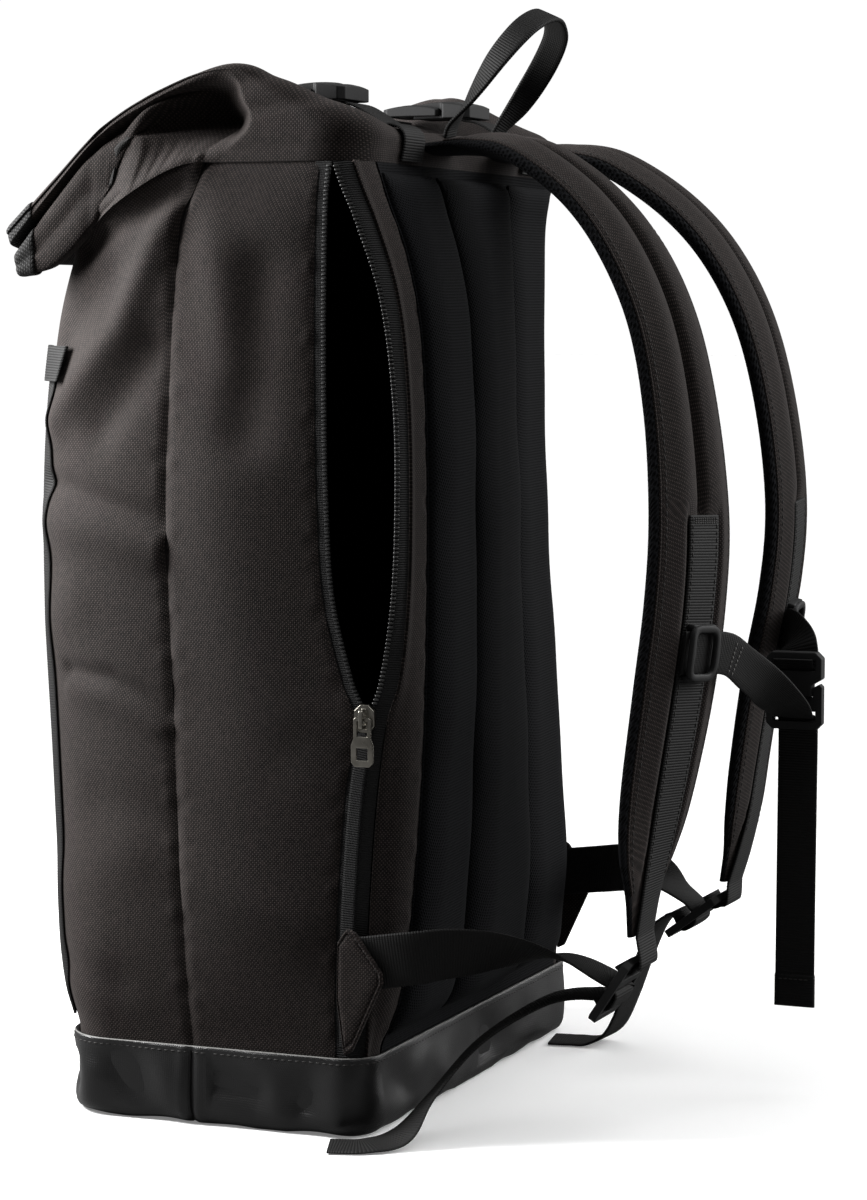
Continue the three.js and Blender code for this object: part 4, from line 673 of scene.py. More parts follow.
def stacked(name, rings, finishes, which=None, flat=None):
    """A closed body from rings of points, one on the next, capped at both ends."""
    rows, count = rings.shape[:2]
    place = flat_places(rings, True) if flat is None else np.concatenate([flat, flat[:, :1]], 1)
    spots = np.arange(rows * count).reshape(rows, count)
    faces, spans, tints = [], [], []
    for row in range(rows - 1):
        for column in range(count):
            square = (row, column), (row, column + 1), (row + 1, column + 1), (row + 1, column)
            faces.append([spots[up, over % count] for up, over in square])
            spans.append([place[spot] for spot in square])
            tints.append(0 if which is None else which[row])
    caps = np.stack([rings[..., 0] + rings[..., 2], rings[..., 1]], -1) if flat is None else flat
    for row, way in ((0, -1), (-1, 1)):
        faces.append(list(spots[row][::way]))
        spans.append(caps[row][::way])
        tints.append(0)
    piece = new_piece(name, rings.reshape(-1, 3), faces, spans, finishes, tints)
    turned_out(piece)
    return piece


def coated_fabric():
    """Smooth coating over a fine scrim: broad soft reflections, scuffed a little along the foot."""
    finish = Finish("coated_fabric", {"Specular IOR Level": 0.4})
    scrim_turn = math.pi / SCRIM_PITCH
    across, along = ((place * scrim_turn).sine() for place in finish.span())
    scrim = abs(across) * abs(along)
    cloud, grain = finish.noise(14.0, 4.0), finish.noise(900.0, 2.0)
    scuff = finish.noise(60.0, 5.0)
    finish.tinted(cloud, (0.0048, 0.0048, 0.005), (0.0125, 0.0123, 0.0125))
    finish.feed("Roughness", 0.2 + 0.14 * cloud + 0.1 * scuff)
    finish.bumped(scrim * 0.35 + grain * 0.4 + scuff * 0.5, 0.00035, 0.5)
    return finish


def speckled(name, constants, scale, detail, dark, light):
    """A plain finish with a fine uneven tone."""
    finish = Finish(name, constants)
    finish.tinted(finish.noise(scale, detail), dark, light)
    return finish


coated = coated_fabric()
# Painted highlight: a pale tone for the crest of the base band's rolled top edge, where light catches it.
crest_highlight_finish = speckled(
    "painted_crest_highlight", {"Roughness": 0.6}, 700.0, 2.0, (0.07, 0.069, 0.066), (0.2, 0.196, 0.187)
)

tray_rows = np.array([
    np.concatenate([base_outline(inset), np.full((BASE_POINTS, 1), z)], 1) for z, inset in TRAY[1:]
])
tray_out = facing(tray_rows, tray_rows - tray_rows.mean((0, 1)), around=True)
tray_run = np.linspace(0, BASE_RUN, BASE_POINTS, endpoint=False)
tray_up = tray_rows[:, 0, 2]
rng = np.random.default_rng(11)
soft = sum(
    rng.uniform(0.4, 1.0) * np.sin(tray_run * 2 * math.pi * turns / BASE_RUN + rng.uniform(0, 6))
    for turns in (3, 5, 8, 13, 21)
)
dents = np.zeros(tray_rows.shape[:2])
for _ in range(DENTS):
    centre, height = rng.uniform(0, BASE_RUN), rng.uniform(6, 34)
    width, tall, lean = rng.uniform(7, 26), rng.uniform(5, 14), rng.uniform(-1.2, 1.2)
    above = tray_up[:, None] - height
    away = (tray_run[None, :] - centre + BASE_RUN / 2) % BASE_RUN - BASE_RUN / 2 + lean * above
    dents += rng.uniform(-2.0, 1.4) * np.exp(-((away / width) ** 2) - (above / tall) ** 2)
on_side = np.abs(np.abs(tray_rows[..., 0]) - BASE_HALF_WIDTH) < SIDE_BAND
from_seam = np.abs(tray_rows[..., 1] - BASE_SEAM_Y)
seam = np.exp(-((from_seam / BASE_SEAM_WIDTH) ** 2)) * on_side
seam_lips = np.exp(-(((from_seam - BASE_LIP_AT) / BASE_LIP_WIDTH) ** 2)) * on_side
belly = np.sin(np.clip(tray_up / BAND_HEIGHT, 0, 1) * math.pi)[:, None]
lift = (0.4 * soft[None, :] + 0.6 + dents + folded(tray_run, tray_up, BASE_FOLDS)) * belly
lift += (BASE_LIP_RISE * seam_lips - BASE_SEAM_DEPTH * seam) * np.clip(belly * 4, 0, 1)
lift *= (np.arange(len(tray_rows)) < OUTER_ROWS)[:, None]
tray_rows = tray_rows + tray_out * lift[..., None]
foot = np.clip(0.5 + 0.5 * soft + 0.8 * seam[SEAM_ROW], 0, 1.6)
tray_rows[FOOT_ROWS, :, 2] += foot[None, :] * (1 - tray_up[FOOT_ROWS] / FOOT_HEIGHT)[:, None]
tray_rows[..., 2] = np.maximum(tray_rows[..., 2], 0.0)
# The crest row of the band's top edge takes the painted highlight.
tray_highlight_rows = [int(row == CREST_HIGHLIGHT_ROW) for row in range(len(tray_rows) - 1)]
base = stacked("base_band", tray_rows, [coated, crest_highlight_finish], tray_highlight_rows)
dress(base, "base_tray")

STUD_SIDES = 6
STUD_TURNS = 2 * math.pi * np.arange(STUD_SIDES) / STUD_SIDES
STUD_SPAN = ((0, 0), (0.4, 0), (0.4, 0.6), (0, 0.6))
STITCH_RINGS = ((0.0, 0.35, -0.6), (0.18, 1.0, 0.1), (0.5, 1.05, 0.35), (0.82, 1.0, 0.1), (1.0, 0.35, -0.6))
STITCH_FLATNESS = 0.7


def studded(name, studs, finish):
    """A row of small closed bodies, each from its own rings of points."""
    count, rings, around = studs.shape[:3]
    faces, spans = [], []
    for first in range(0, count * rings * around, rings * around):
        for low in range(first, first + (rings - 1) * around, around):
            for step in range(around):
                nearby = (step + 1) % around
                faces.append([low + step, low + nearby, low + around + nearby, low + around + step])
                spans.append(STUD_SPAN)
        last = first + (rings - 1) * around
        faces += [range(first + around - 1, first - 1, -1), range(last, last + around)]
        spans += [[(0, 0)] * around] * 2
    piece = new_piece(name, studs.reshape(-1, 3), faces, spans, [finish])
    turned_out(piece)
    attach(piece, "bag")
    return piece


def stitch_row(name, line, outward, finish, length, gap, radius):
    """Sewn thread: one short rounded stitch after another along a line, lying on the cloth."""
    run = run_along(line)
    stitches = []
    for start in np.arange(gap, run[-1] - length, length + gap):
        where = np.array([start + share * length for share, _, _ in STITCH_RINGS])
        centres, lifts = at_run(where, run, line), unit(at_run(where, run, outward))
        forward = unit(centres[-1] - centres[0])
        rings = []
        for (_, swell, lift), centre, up_way in zip(STITCH_RINGS, centres, lifts):
            side = unit(np.cross(forward, up_way))
            wide = np.outer(np.cos(STUD_TURNS), side)
            tall = np.outer(np.sin(STUD_TURNS), up_way) * STITCH_FLATNESS
            rings.append(centre + up_way * lift * radius + (wide + tall) * radius * swell)
        stitches.append(rings)
    studded(name, np.array(stitches), finish)


dark_thread = speckled(
    "dark_thread", {"Roughness": 0.7, "Specular IOR Level": 0.3}, 1500.0, 1.0,
    (0.012, 0.011, 0.011), (0.04, 0.038, 0.036),
)
seam_line, seam_out = (
    np.concatenate([rows[STITCHED_ROW], rows[STITCHED_ROW][:1]]) for rows in (tray_rows, tray_out)
)
stitch_row("base_stitching", seam_line, seam_out, dark_thread, 2.6, 0.9, 0.32)

# Back. Spacer mesh over foam: three upright pads with deep grooves between them, sewn to a mesh back panel.
# The mesh is a blue-black knit with small holes.
PADS = (("left", -116.5, -52.5, 6.0, 20), ("center", -48.5, 48.5, 9.6, 26), ("right", 51.5, 116.5, 6.0, 20))
PAD_LOW, PAD_HIGH = 46.0, 447.0
PAD_ROWS, PAD_COLUMNS = 132, 44
PAD_SEAT, PAD_RIM, PAD_END, PAD_FILL = 0.3, 0.7, 12.0, 0.7
PAD_WAVE, PAD_WAVE_LENGTHS = 0.3, (61, 97, 143)


def spacer_mesh(name, pitch):
    """A knit face with small holes in staggered rows, over foam."""
    finish = Finish(name, {"Roughness": 0.9, "Specular IOR Level": 0.08})
    across, along = finish.span()
    turn = 2 * math.pi / pitch
    first = (along * turn).cosine()
    second = (across * (turn * 0.866) + along * (turn * 0.5)).cosine()
    third = (across * (turn * 0.866) - along * (turn * 0.5)).cosine()
    knit = (first + second + third) * 0.222 + 0.333
    yarn, cloud = finish.noise(600.0, 2.0), finish.noise(6.0, 2.0)
    share = (1.0 - knit * 1.25) * (0.75 + 0.5 * yarn) + (cloud - 0.5) * 0.3
    finish.tinted(share, (0.0008, 0.0009, 0.001), (0.0092, 0.0095, 0.011))
    finish.bumped(1.0 - knit + yarn * 0.2, pitch * 0.3, 0.9)
    return finish


knit_mesh = spacer_mesh("spacer_mesh", 0.0014)
grid = upright(back_line, heights)
outward = facing(grid, np.array([0, 1, 0]))
sewn_panel("back_panel_mesh", "back_panel", grid, grid - outward * CLOTH, knit_mesh)
for side, low_x, high_x, full, shoulder in PADS:
    pad_heights = np.linspace(PAD_LOW, PAD_HIGH, PAD_ROWS)
    across = low_x + (high_x - low_x) * (0.5 - 0.5 * np.cos(np.linspace(0, math.pi, PAD_COLUMNS)))
    place_x, place_z = np.meshgrid(across, pad_heights)
    seat = back_at(place_x, place_z) + PAD_SEAT
    inset = np.clip(np.minimum(place_x - low_x, high_x - place_x) / shoulder, 0, 1)
    ends = np.clip(np.minimum(place_z - PAD_LOW, PAD_HIGH - place_z) / PAD_END, 0, 1)
    crown = np.sqrt(1 - (1 - inset) ** 2) * np.sqrt(1 - (1 - ends) ** 2)
    rng = np.random.default_rng(len(side))
    waves = sum(
        np.sin(place_z * 2 * math.pi / length + place_x / 60 + rng.uniform(0, 6))
        for length in PAD_WAVE_LENGTHS
    )
    thick = PAD_RIM + (full + PAD_WAVE * waves) * crown
    face = np.stack([place_x, seat + thick, place_z], -1)
    under = np.stack([place_x, seat, place_z], -1)
    pad = cloth_piece(f"back_pad_{side}_mesh", face, under, [knit_mesh])
    dress(pad, f"back_pad_{side}")

# Roll top. The same cloth goes on up as a wide flat tube, folded forward over the front and clipped down. Its
# ends are tucked in like a paper bag's and stand up in soft peaks beside the straps.
ROLL = (
    ("step", "back_y", "back_z", "front_y", "front_z", "half", "sag", "dip", "tuck", "round", "drop"),
    (0, 78, 452, -60, 452, 138, 0, 0, 0, 28, 0),
    (1, 77, 472, -55, 460, 137, 4, 4, 20, 24, 0),
    (2, 46, 486, -52, 465, 136, 16, 8, 32, 14, 4),
    (3, 15, 497, -51, 467, 136, 18, 9, 14, 6, 16),
    (4, -20, 488, -53, 464, 136, 12, 7, 12, 4, 27),
    (5, -53, 471, -62, 455, 136, 6, 2, 13, 3.4, 33),
    (6, -80, 447, -82, 432, 135, 2, 0, 12, 2.8, 27),
    (7, -107, 422, -101, 407, 133, 1, 0, 10, 2.2, 6),
)
TUCK_START, TUCK_PEAK = 0.57, 3.0
CREASE_AT = 0.3
VALLEY, VALLEY_SHIFT = 0.3, 0.36
WALL_POINTS, CORNER_POINTS = 60, 9
ROLL_END, ROLL_ROWS, ROLL_CLOTH = 7, 110, 0.5
ROLL_PARTS = (62, 70, 124, 70, 61)
RIPPLES = 26
HANG_DROP, HANG_OUT, HANG_STEPS, HANG_REACH = 38.0, 2.4, 1.6, 6


def tuck_share(step, share):
    """How deep the tucked end lies between the back wall, at 0, and the front wall, at 1.

    Low down one crease runs up to the peak. Past it the end closes into an upper and a lower lobe.
    """
    crease = TUCK_START * max(1 - step / TUCK_PEAK, 0.0)
    inner = np.clip((share - crease) / (1 - crease), 0, 1)
    legs = np.where(inner < CREASE_AT, inner / CREASE_AT, (1 - inner) / (1 - CREASE_AT))
    valley = VALLEY + VALLEY_SHIFT * float(eased(step, 2.9, 4.2))
    rest = 1 - valley
    lobes = along_rows((
        ("share", "deep"),
        (0, 0.1), (0.35 * valley, 0), (0.7 * valley, 0.08), (0.92 * valley, 0.75), (valley, 1),
        (valley + 0.1 * rest, 0.8), (valley + 0.32 * rest, 0.16), (valley + 0.62 * rest, 0), (1, 0.08),
    ), "deep", share)
    closed = float(eased(step, 2.3, 3.5))
    return legs * (1 - closed) + lobes * closed


def roll_ring(step, grow=0.0):
    """One ring of the folded tube: the front wall, one end, the back wall and the other end."""
    value = {key: float(along_rows(ROLL, key, step)) for key in ROLL[0][1:]}
    reach = np.array([value["back_y"] - value["front_y"], value["back_z"] - value["front_z"]])
    depth = np.linalg.norm(reach)
    reach = reach / depth
    half = value["half"] + grow
    radius = min(value["round"] + grow, depth * 0.48)
    flat = half - radius
    quarter = math.pi / 2
    depth_in = value["tuck"] * float(eased(step, 0, 1.1)) * (1.0 if grow == 0 else 0.9)
    tucked = half - depth_in * tuck_share(step, np.linspace(0, 1, WALL_POINTS))
    side = np.linspace(depth + grow - radius, radius - grow, WALL_POINTS)
    front = np.linspace(0, flat, WALL_POINTS)
    back = np.linspace(flat, -flat, 2 * WALL_POINTS)
    front_corner, back_corner = radius - grow, depth + grow - radius
    ring = np.concatenate([
        np.stack([front, np.full(WALL_POINTS, -grow)], 1),
        arc(flat, front_corner, radius, -quarter, 0, CORNER_POINTS)[1:-1],
        np.stack([tucked[::-1], side[::-1]], 1),
        arc(flat, back_corner, radius, 0, quarter, CORNER_POINTS)[1:-1],
        np.stack([back, np.full(2 * WALL_POINTS, depth + grow)], 1),
        arc(-flat, back_corner, radius, quarter, 2 * quarter, CORNER_POINTS)[1:-1],
        np.stack([-tucked, side], 1),
        arc(-flat, front_corner, radius, 2 * quarter, 3 * quarter, CORNER_POINTS)[1:-1],
        np.stack([-front[::-1], np.full(WALL_POINTS, -grow)], 1)[:-1],
    ])
    x, along = ring[:, 0], ring[:, 1]
    near_back = np.clip(along / depth, 0, 1)
    sag = value["sag"] * (1 - eased(np.abs(x), 84, 128)) * near_back**2
    dip = value["dip"] * (1 - eased(np.abs(x), 60, 118)) * (1 - near_back) ** 2
    drop = value["drop"] * eased(np.abs(x), 108, 129) * eased(1 - near_back, 0.6, 1)
    y = value["front_y"] + reach[0] * along
    z = value["front_z"] + reach[1] * along - sag - dip - drop
    return np.stack([x, y, z], 1)


def between(grid, rows, columns):
    """Points between the points of a grid."""
    row, column = rows.astype(int), columns.astype(int)
    up, over = (rows - row)[..., None], (columns - column)[..., None]
    low = grid[row, column] * (1 - over) + grid[row, column + 1] * over
    high = grid[row + 1, column] * (1 - over) + grid[row + 1, column + 1] * over
    return low * (1 - up) + high * up


roll_steps = np.linspace(0, ROLL_END, ROLL_ROWS)
face = np.array([roll_ring(step) for step in roll_steps])
outward = facing(face, face - face.mean(1, keepdims=True), around=True)
rng = np.random.default_rng(21)
ripple = np.zeros(face.shape[:2])
for _ in range(RIPPLES):
    centre_x, centre_step = rng.uniform(-135, 135), rng.uniform(0.3, 6.8)
    length, width = rng.uniform(18, 46), rng.uniform(0.10, 0.28)
    lean, rise = rng.uniform(-0.008, 0.008), rng.uniform(-1.2, 1.2)
    away_x = face[..., 0] - centre_x
    away_step = roll_steps[:, None] - centre_step - lean * away_x
    ripple += rise * np.exp(-((away_x / length) ** 2) - (away_step / width) ** 2)
ripple *= eased(roll_steps, 0, 0.5)[:, None]
face = face + outward * ripple[..., None]
seam_run = row_run(front_grid)
from_seam = np.minimum(seam_run, seam_run[-1] - seam_run)
for column, point in enumerate(face[0]):
    away = np.linalg.norm(front_grid[-1] - point, axis=1)
    nearest = int(away.argmin())
    if away[nearest] < HANG_REACH:
        low_z = PANEL_TOP - HANG_DROP * eased(from_seam[nearest], 0, 80)
        row = np.interp(low_z, heights, np.arange(PANEL_ROWS))
        spot = np.array([min(row, PANEL_ROWS - 1.001)]), np.array([min(nearest, FRONT_POINTS - 1.001)])
        lift = HANG_OUT * eased(from_seam[nearest], 2, 14)
        hang = between(front_face, *spot)[0] + between(front_out, *spot)[0] * lift
        face[:, column] += (hang - point) * (1 - eased(roll_steps, 0, HANG_STEPS))[:, None]
roll_ends = np.repeat([False, True, False, True, False], ROLL_PARTS)
under = face - outward * ROLL_CLOTH
roll = cloth_piece("roll_top_cloth", face, under, [cloth, lining], around=True, ends=roll_ends)
dress(roll, "roll_top")
sewn_sheet(face, around=True)

# Mouth hem. A ribbed binding tape, folded over the raw edge of the tube's mouth and sewn right round it. It
# is seen along the edge of the folded flap.
HEM_START = 6.5
HEM_SWELL = (0.5, 1.0, *[1.1] * 8, 1.0, 0.6)
HEM_GAP, HEM_INSIDE = 0.25, 0.2


def ribbed_tape(name, dark, light, rib, depth, crosswise=False):
    """Woven webbing: ribs across it, each a row of tight yarn."""
    finish = Finish(name, {"Roughness": 0.68, "Specular IOR Level": 0.2})
    across, along = reversed(finish.span()) if crosswise else finish.span()
    ribs = (along * (math.pi / rib)).sine()
    cords = (across * (math.pi / (rib * 0.7))).sine()
    swell = abs(ribs) * (0.7 + 0.3 * abs(cords))
    yarn, cloud = finish.noise(800.0, 2.0), finish.noise(10.0, 2.0)
    share = swell * 0.75 + (yarn - 0.5) * 0.5 + (cloud - 0.5) * 0.3
    finish.tinted(share, dark, light)
    finish.bumped(swell + yarn * 0.2, depth, 0.8)
    return finish


hem_tape = ribbed_tape("hem_tape", (0.004, 0.004, 0.004), (0.017, 0.0165, 0.016), 0.0021, 0.0006, True)
hem_steps = np.linspace(HEM_START, ROLL_END, len(HEM_SWELL))
face = np.array([roll_ring(step, HEM_GAP + thick) for step, thick in zip(hem_steps, HEM_SWELL)])
inner = np.array([roll_ring(step, HEM_INSIDE) for step in hem_steps])
hem = cloth_piece("mouth_hem_tape", face, inner, [hem_tape], around=True)
dress(hem, "mouth_hem")

# Webbing on the top. Two straps come up the back collar and two along the folded flap, and meet in the
# side-release buckles. They are ribbed polyester webbing, sewn down at their far ends.
SIDES = {"right": np.array([1, 1, 1]), "left": np.array([-1, 1, 1])}
STRAP_X = 80.0
WEB_WIDTH, WEB_THICK, WEB_RIB = 25.0, 1.5, 1.3
RIB_HIGH, RIB_LOW, RIB_END = 1.04, 0.93, 0.8
ROOF_LIFT, ROOF_STEP = 1.5, 0.03
BUCKLE_UNDERSIDE = 482.4
webbing = ribbed_tape("black_webbing", (0.0016, 0.0015, 0.0015), (0.0076, 0.0073, 0.0071), 0.0013, 0.0003)


def web_profile(width, thick):
    """Half-rounded edges and a slightly crowned face, going round once."""
    shares = np.array([-0.5, -0.488, -0.46, -0.3, 0.0, 0.3, 0.46, 0.488, 0.5])
    rise = np.array([0.0, 0.34, 0.47, 0.5, 0.5, 0.5, 0.47, 0.34, 0.0])
    upper = np.stack([shares * width, rise * thick], 1)
    lower = np.stack([shares[::-1] * width, -rise[::-1] * thick], 1)[1:-1]
    return np.concatenate([upper, lower])


def squared(side, forward):
    """The way across a line, turned square to the line's own direction."""
    return unit(side - forward * (side * forward).sum(1, keepdims=True))


def web_strap(name, centres, across, width, thick, finish, rib=WEB_RIB):
    """A flat strap along a line of points, with its ribs as real ridges."""
    run = run_along(centres)
    count = max(int(run[-1] / (rib / 2)), 8)
    at = np.linspace(0, run[-1], count)
    line = at_run(at, run, centres)
    forward = unit(np.gradient(line, axis=0))
    side = squared(at_run(at, run, across), forward)
    lift = unit(np.cross(forward, side))
    profile = web_profile(width, thick)
    swell = np.where(np.arange(count) % 2 == 0, RIB_HIGH, RIB_LOW)
    swell[[0, -1]] = RIB_END
    rise = lift[:, None] * profile[None, :, 1:] * swell[:, None, None]
    rings = line[:, None] + side[:, None] * profile[None, :, :1] + rise
    flat = np.stack(np.broadcast_arrays(profile[None, :, 0] + width / 2, at[:, None]), -1)
    return stacked(name, rings, [finish], flat=flat)


def roof_line(steps):
    """Points on the folded top under a strap, lifted off the cloth."""
    points = []
    for step in steps:
        near = np.array([max(step - ROOF_STEP, 0), step, min(step + ROOF_STEP, ROLL_END)])
        y = along_rows(ROLL, "back_y", near)
        z = along_rows(ROLL, "back_z", near) - along_rows(ROLL, "sag", near)
        forward = unit(np.array([0, y[2] - y[0], z[2] - z[0]]))
        out = np.array([0, -forward[2], forward[1]])
        place = np.array([STRAP_X, y[1], z[1]])
        inside = np.array([0, along_rows(ROLL, "front_y", step), along_rows(ROLL, "front_z", step)])
        points.append(place + (out if out @ (place - inside) > 0 else -out) * ROOF_LIFT)
    return np.array(points)


def smoothed(rows, each):
    """A smooth line through rows of values, with the same number of steps between each two."""
    head = ("step", *range(len(rows[0])))
    table = [head, *[(k, *row) for k, row in enumerate(rows)]]
    at = np.linspace(0, len(rows) - 1, (len(rows) - 1) * each + 1)
    return np.stack([along_rows(table, key, at) for key in head[1:]], 1)


flap_run = np.concatenate([
    roof_line(np.linspace(6.38, 4.0, 16)),
    [(STRAP_X, -1.0, BUCKLE_UNDERSIDE - 1.4), (STRAP_X, 9.0, BUCKLE_UNDERSIDE - 1.0)],
])
collar_run = np.concatenate([
    [(STRAP_X, 46.5, BUCKLE_UNDERSIDE - 1.0), (STRAP_X, 56.0, BUCKLE_UNDERSIDE - 3.2)],
    roof_line(np.linspace(1.3, 0.1, 12)),
])
for side, flip in SIDES.items():
    for name, run in (("top_strap_front", flap_run), ("top_strap_back", collar_run)):
        line = smoothed(run, 8) * flip
        flat = np.tile([1.0, 0, 0], (len(line), 1))
        strap = web_strap(f"{name}_{side}_webbing", line, flat, WEB_WIDTH, WEB_THICK, webbing)
        dress(strap, f"{name}_{side}")

# Moulded hardware. Side-release buckles, sternum sliders and ladder locks are black acetal with a satin,
# finely grained skin and softly rounded edges, threaded on the webbing.
DOMES = {"top_buckle_socket": (1.5, 2.0), "top_buckle_plug": (1.5, 2.0), "ladder_lock": None}
FINE_EDGE = 2.6
SHARP_EDGE, FLAT_EDGE, SAME_POINT = 0.4, 0.02, 1e-6


def moulded_plastic():
    """Satin plastic with the fine grain of its mould."""
    finish = Finish("moulded_plastic", {"Specular IOR Level": 0.22})
    grain, cloud = finish.noise(1800.0, 2.0), finish.noise(40.0, 3.0)
    finish.tinted(cloud, (0.008, 0.008, 0.0082), (0.018, 0.018, 0.0185))
    finish.feed("Roughness", 0.54 + 0.12 * cloud + 0.06 * grain)
    finish.bumped(grain, 0.00008, 0.6)
    return finish


plastic = moulded_plastic()


def domed(work, drop_across, drop_along):
    """Split a moulding finely and let its top fall away to all sides, over a flat underside."""
    for _ in range(3):
        long_edges = [edge for edge in work.edges if edge.calc_length() > FINE_EDGE * MM]
        bmesh.ops.subdivide_edges(work, edges=long_edges, cuts=1)
        bmesh.ops.triangulate(work, faces=work.faces)
    places = np.array([vert.co for vert in work.verts])
    low, high = places.min(0), places.max(0)
    off = 2 * (places - (low + high) / 2) / (high - low)
    drop = (drop_across * off[:, 0] ** 2 + drop_along * off[:, 1] ** 2) * MM
    for vert, fall, share in zip(work.verts, drop, (places[:, 2] - low[2]) / (high[2] - low[2])):
        vert.co.z -= fall * share


def rounded_part(name, node, finish, offset, body="bag", dome=None):
    """The moulded form of a hardware node, with its edges rounded over."""
    mesh = bpy.data.meshes.new(name)
    work = bmesh.new()
    work.from_mesh(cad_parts[node].data)
    bmesh.ops.remove_doubles(work, verts=work.verts, dist=SAME_POINT)
    bmesh.ops.dissolve_limit(work, angle_limit=FLAT_EDGE, verts=work.verts, edges=work.edges)
    sharp = [edge for edge in work.edges if edge.is_manifold and edge.calc_face_angle(0) > SHARP_EDGE]
    rounding = {"segments": 3, "affect": "EDGES", "profile": 0.6, "clamp_overlap": True}
    bmesh.ops.bevel(work, geom=sharp, offset=offset * MM, **rounding)
    if dome:
        domed(work, *dome)
    for face in work.faces:
        face.smooth = True
    work.to_mesh(mesh)
    work.free()
    mesh.materials.append(finish.material)
    piece = bpy.data.objects.new(name, mesh)
    bpy.context.scene.collection.objects.link(piece)
    piece.modifiers.new("even_shading", "WEIGHTED_NORMAL")
    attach(piece, body)
    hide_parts(node)


for side in SIDES:
    for part, dome in DOMES.items():
        rounded_part(f"{part}_{side}_moulding", f"{part}_{side}", plastic, 0.9, dome=dome)
for part in ("sternum_socket", "sternum_plug"):
    rounded_part(f"{part}_moulding", part, plastic, 0.8)

# Haul loop. One length of narrow webbing, sewn into the back collar by both ends. It stands up in an arch to
# be grabbed.
HAUL_WIDTH, HAUL_THICK = 13.0, 2.2
HAUL = (
    (30, 78.7, 467.4, 1, 0, 0), (31, 81.6, 474, 1, 0.1, 0), (33, 92, 487, 0.8, 0.6, -0.2),
    (32, 104, 504, 0.4, 0.9, -0.4), (25, 113, 517, 0.15, 1, -0.45), (13, 117, 524, 0.05, 1, -0.45),
    (0, 118.5, 526.5, 0, 1, -0.45),
)


def routed(rows):
    """A smooth strap route with the way across it: place, then direction, one row for each point."""
    values = smoothed(rows, 10)
    line = values[:, :3]
    side = squared(values[:, 3:], unit(np.gradient(line, axis=0)))
    for k in range(1, len(side)):
        if side[k] @ side[k - 1] < 0:
            side[k] = -side[k]
    return line, side


far_leg = [(-x, y, z, -a, b, c) for x, y, z, a, b, c in reversed(HAUL[:-1])]
line, across = routed([*HAUL, *far_leg])
loop = web_strap("haul_loop_webbing", line, across, HAUL_WIDTH, HAUL_THICK, webbing)
dress(loop, "haul_loop")

# Shoulder straps. Foam between the woven cloth outside and spacer mesh inside, quilted down the middle so
# that each side swells into a tube, and narrowed to a webbing tail at the bottom.
STRAP = (
    ("step", "x", "y", "z", "half", "thick", "turn", "left_reach"),
    (0, 44, 77.9, 461, 22, 3.4, 0, 0),
    (1, 44.4, 96, 461.6, 25, 4.4, 0, 0),
    (2, 49, 114, 460, 28, 5.4, 2, 0),
    (3, 57, 135, 454.5, 30, 6.2, 5, 0),
    (4, 62.5, 163, 435.5, 30, 6.6, 8, 0),
    (5, 66, 184, 411, 30, 6.8, 11, 1),
    (6, 68.5, 200, 378, 30, 6.8, 12, 2),
    (7, 70.5, 209.5, 337, 31, 6.8, 13, 3),
    (8, 73, 214.5, 290, 33, 6.8, 14, 3),
    (9, 75, 213.5, 250, 34, 6.8, 14, 1),
    (10, 77, 208.5, 206, 34, 6.6, 14, -3),
    (11, 79, 201.5, 160, 33, 6, 11, -3),
    (12, 80, 197.5, 134, 30, 5, 6, -2),
    (13, 80.5, 195, 113, 20, 3.4, 1, -3),
    (14, 80, 193, 96, 13.4, 2.4, 0, -5),
)
STRAP_END, STRAP_ROWS, STRAP_COLUMNS = 14, 190, 61
STRAP_FLAT, STRAP_SEAM, STRAP_BACK = 13.2, 0.9, 0.9
QUILT_DEPTH, QUILT_WIDTH = 0.9, 2.6
TUBE_SWELL, TUBE_AT, TUBE_WIDTH = 0.42, 0.42, 0.3
PIPED = slice(10, -16)
PIPING = 0.75
LEFT_TURN_SHARE = 0.35
rim_mesh = spacer_mesh("rim_mesh", 0.0022)


def round_cord(name, line, radius, finish):
    """A thin round cord along a line, as piping sewn into a seam."""
    forward = unit(np.gradient(line, axis=0))
    guide = np.array([0.31, 0.17, 0.94])
    side = unit(np.cross(forward, guide))
    lift = np.cross(side, forward)
    turns = np.linspace(0, 2 * math.pi, 9)[:-1]
    rings = line[:, None] + radius * (
        side[:, None] * np.cos(turns)[None, :, None] + lift[:, None] * np.sin(turns)[None, :, None]
    )
    return stacked(name, rings, [finish])


def strap_frame(side, at):
    """Centre line of a shoulder strap with the ways across and out, its half width and half thickness."""
    def value(key, where):
        return along_rows(STRAP, key, where)

    def spine(where):
        reach = value("y", where) + (value("left_reach", where) if side == "left" else 0)
        return np.stack([value("x", where), reach, value("z", where)], 1)

    forward = unit(spine(np.clip(at + 0.5, 0, STRAP_END)) - spine(np.clip(at - 0.5, 0, STRAP_END)))
    turn = np.radians(value("turn", at) * (LEFT_TURN_SHARE if side == "left" else 1))
    across = squared(np.stack([np.cos(turn), -np.sin(turn), np.zeros(len(at))], 1), forward)
    return spine(at), across, np.cross(across, forward), value("half", at), value("thick", at)


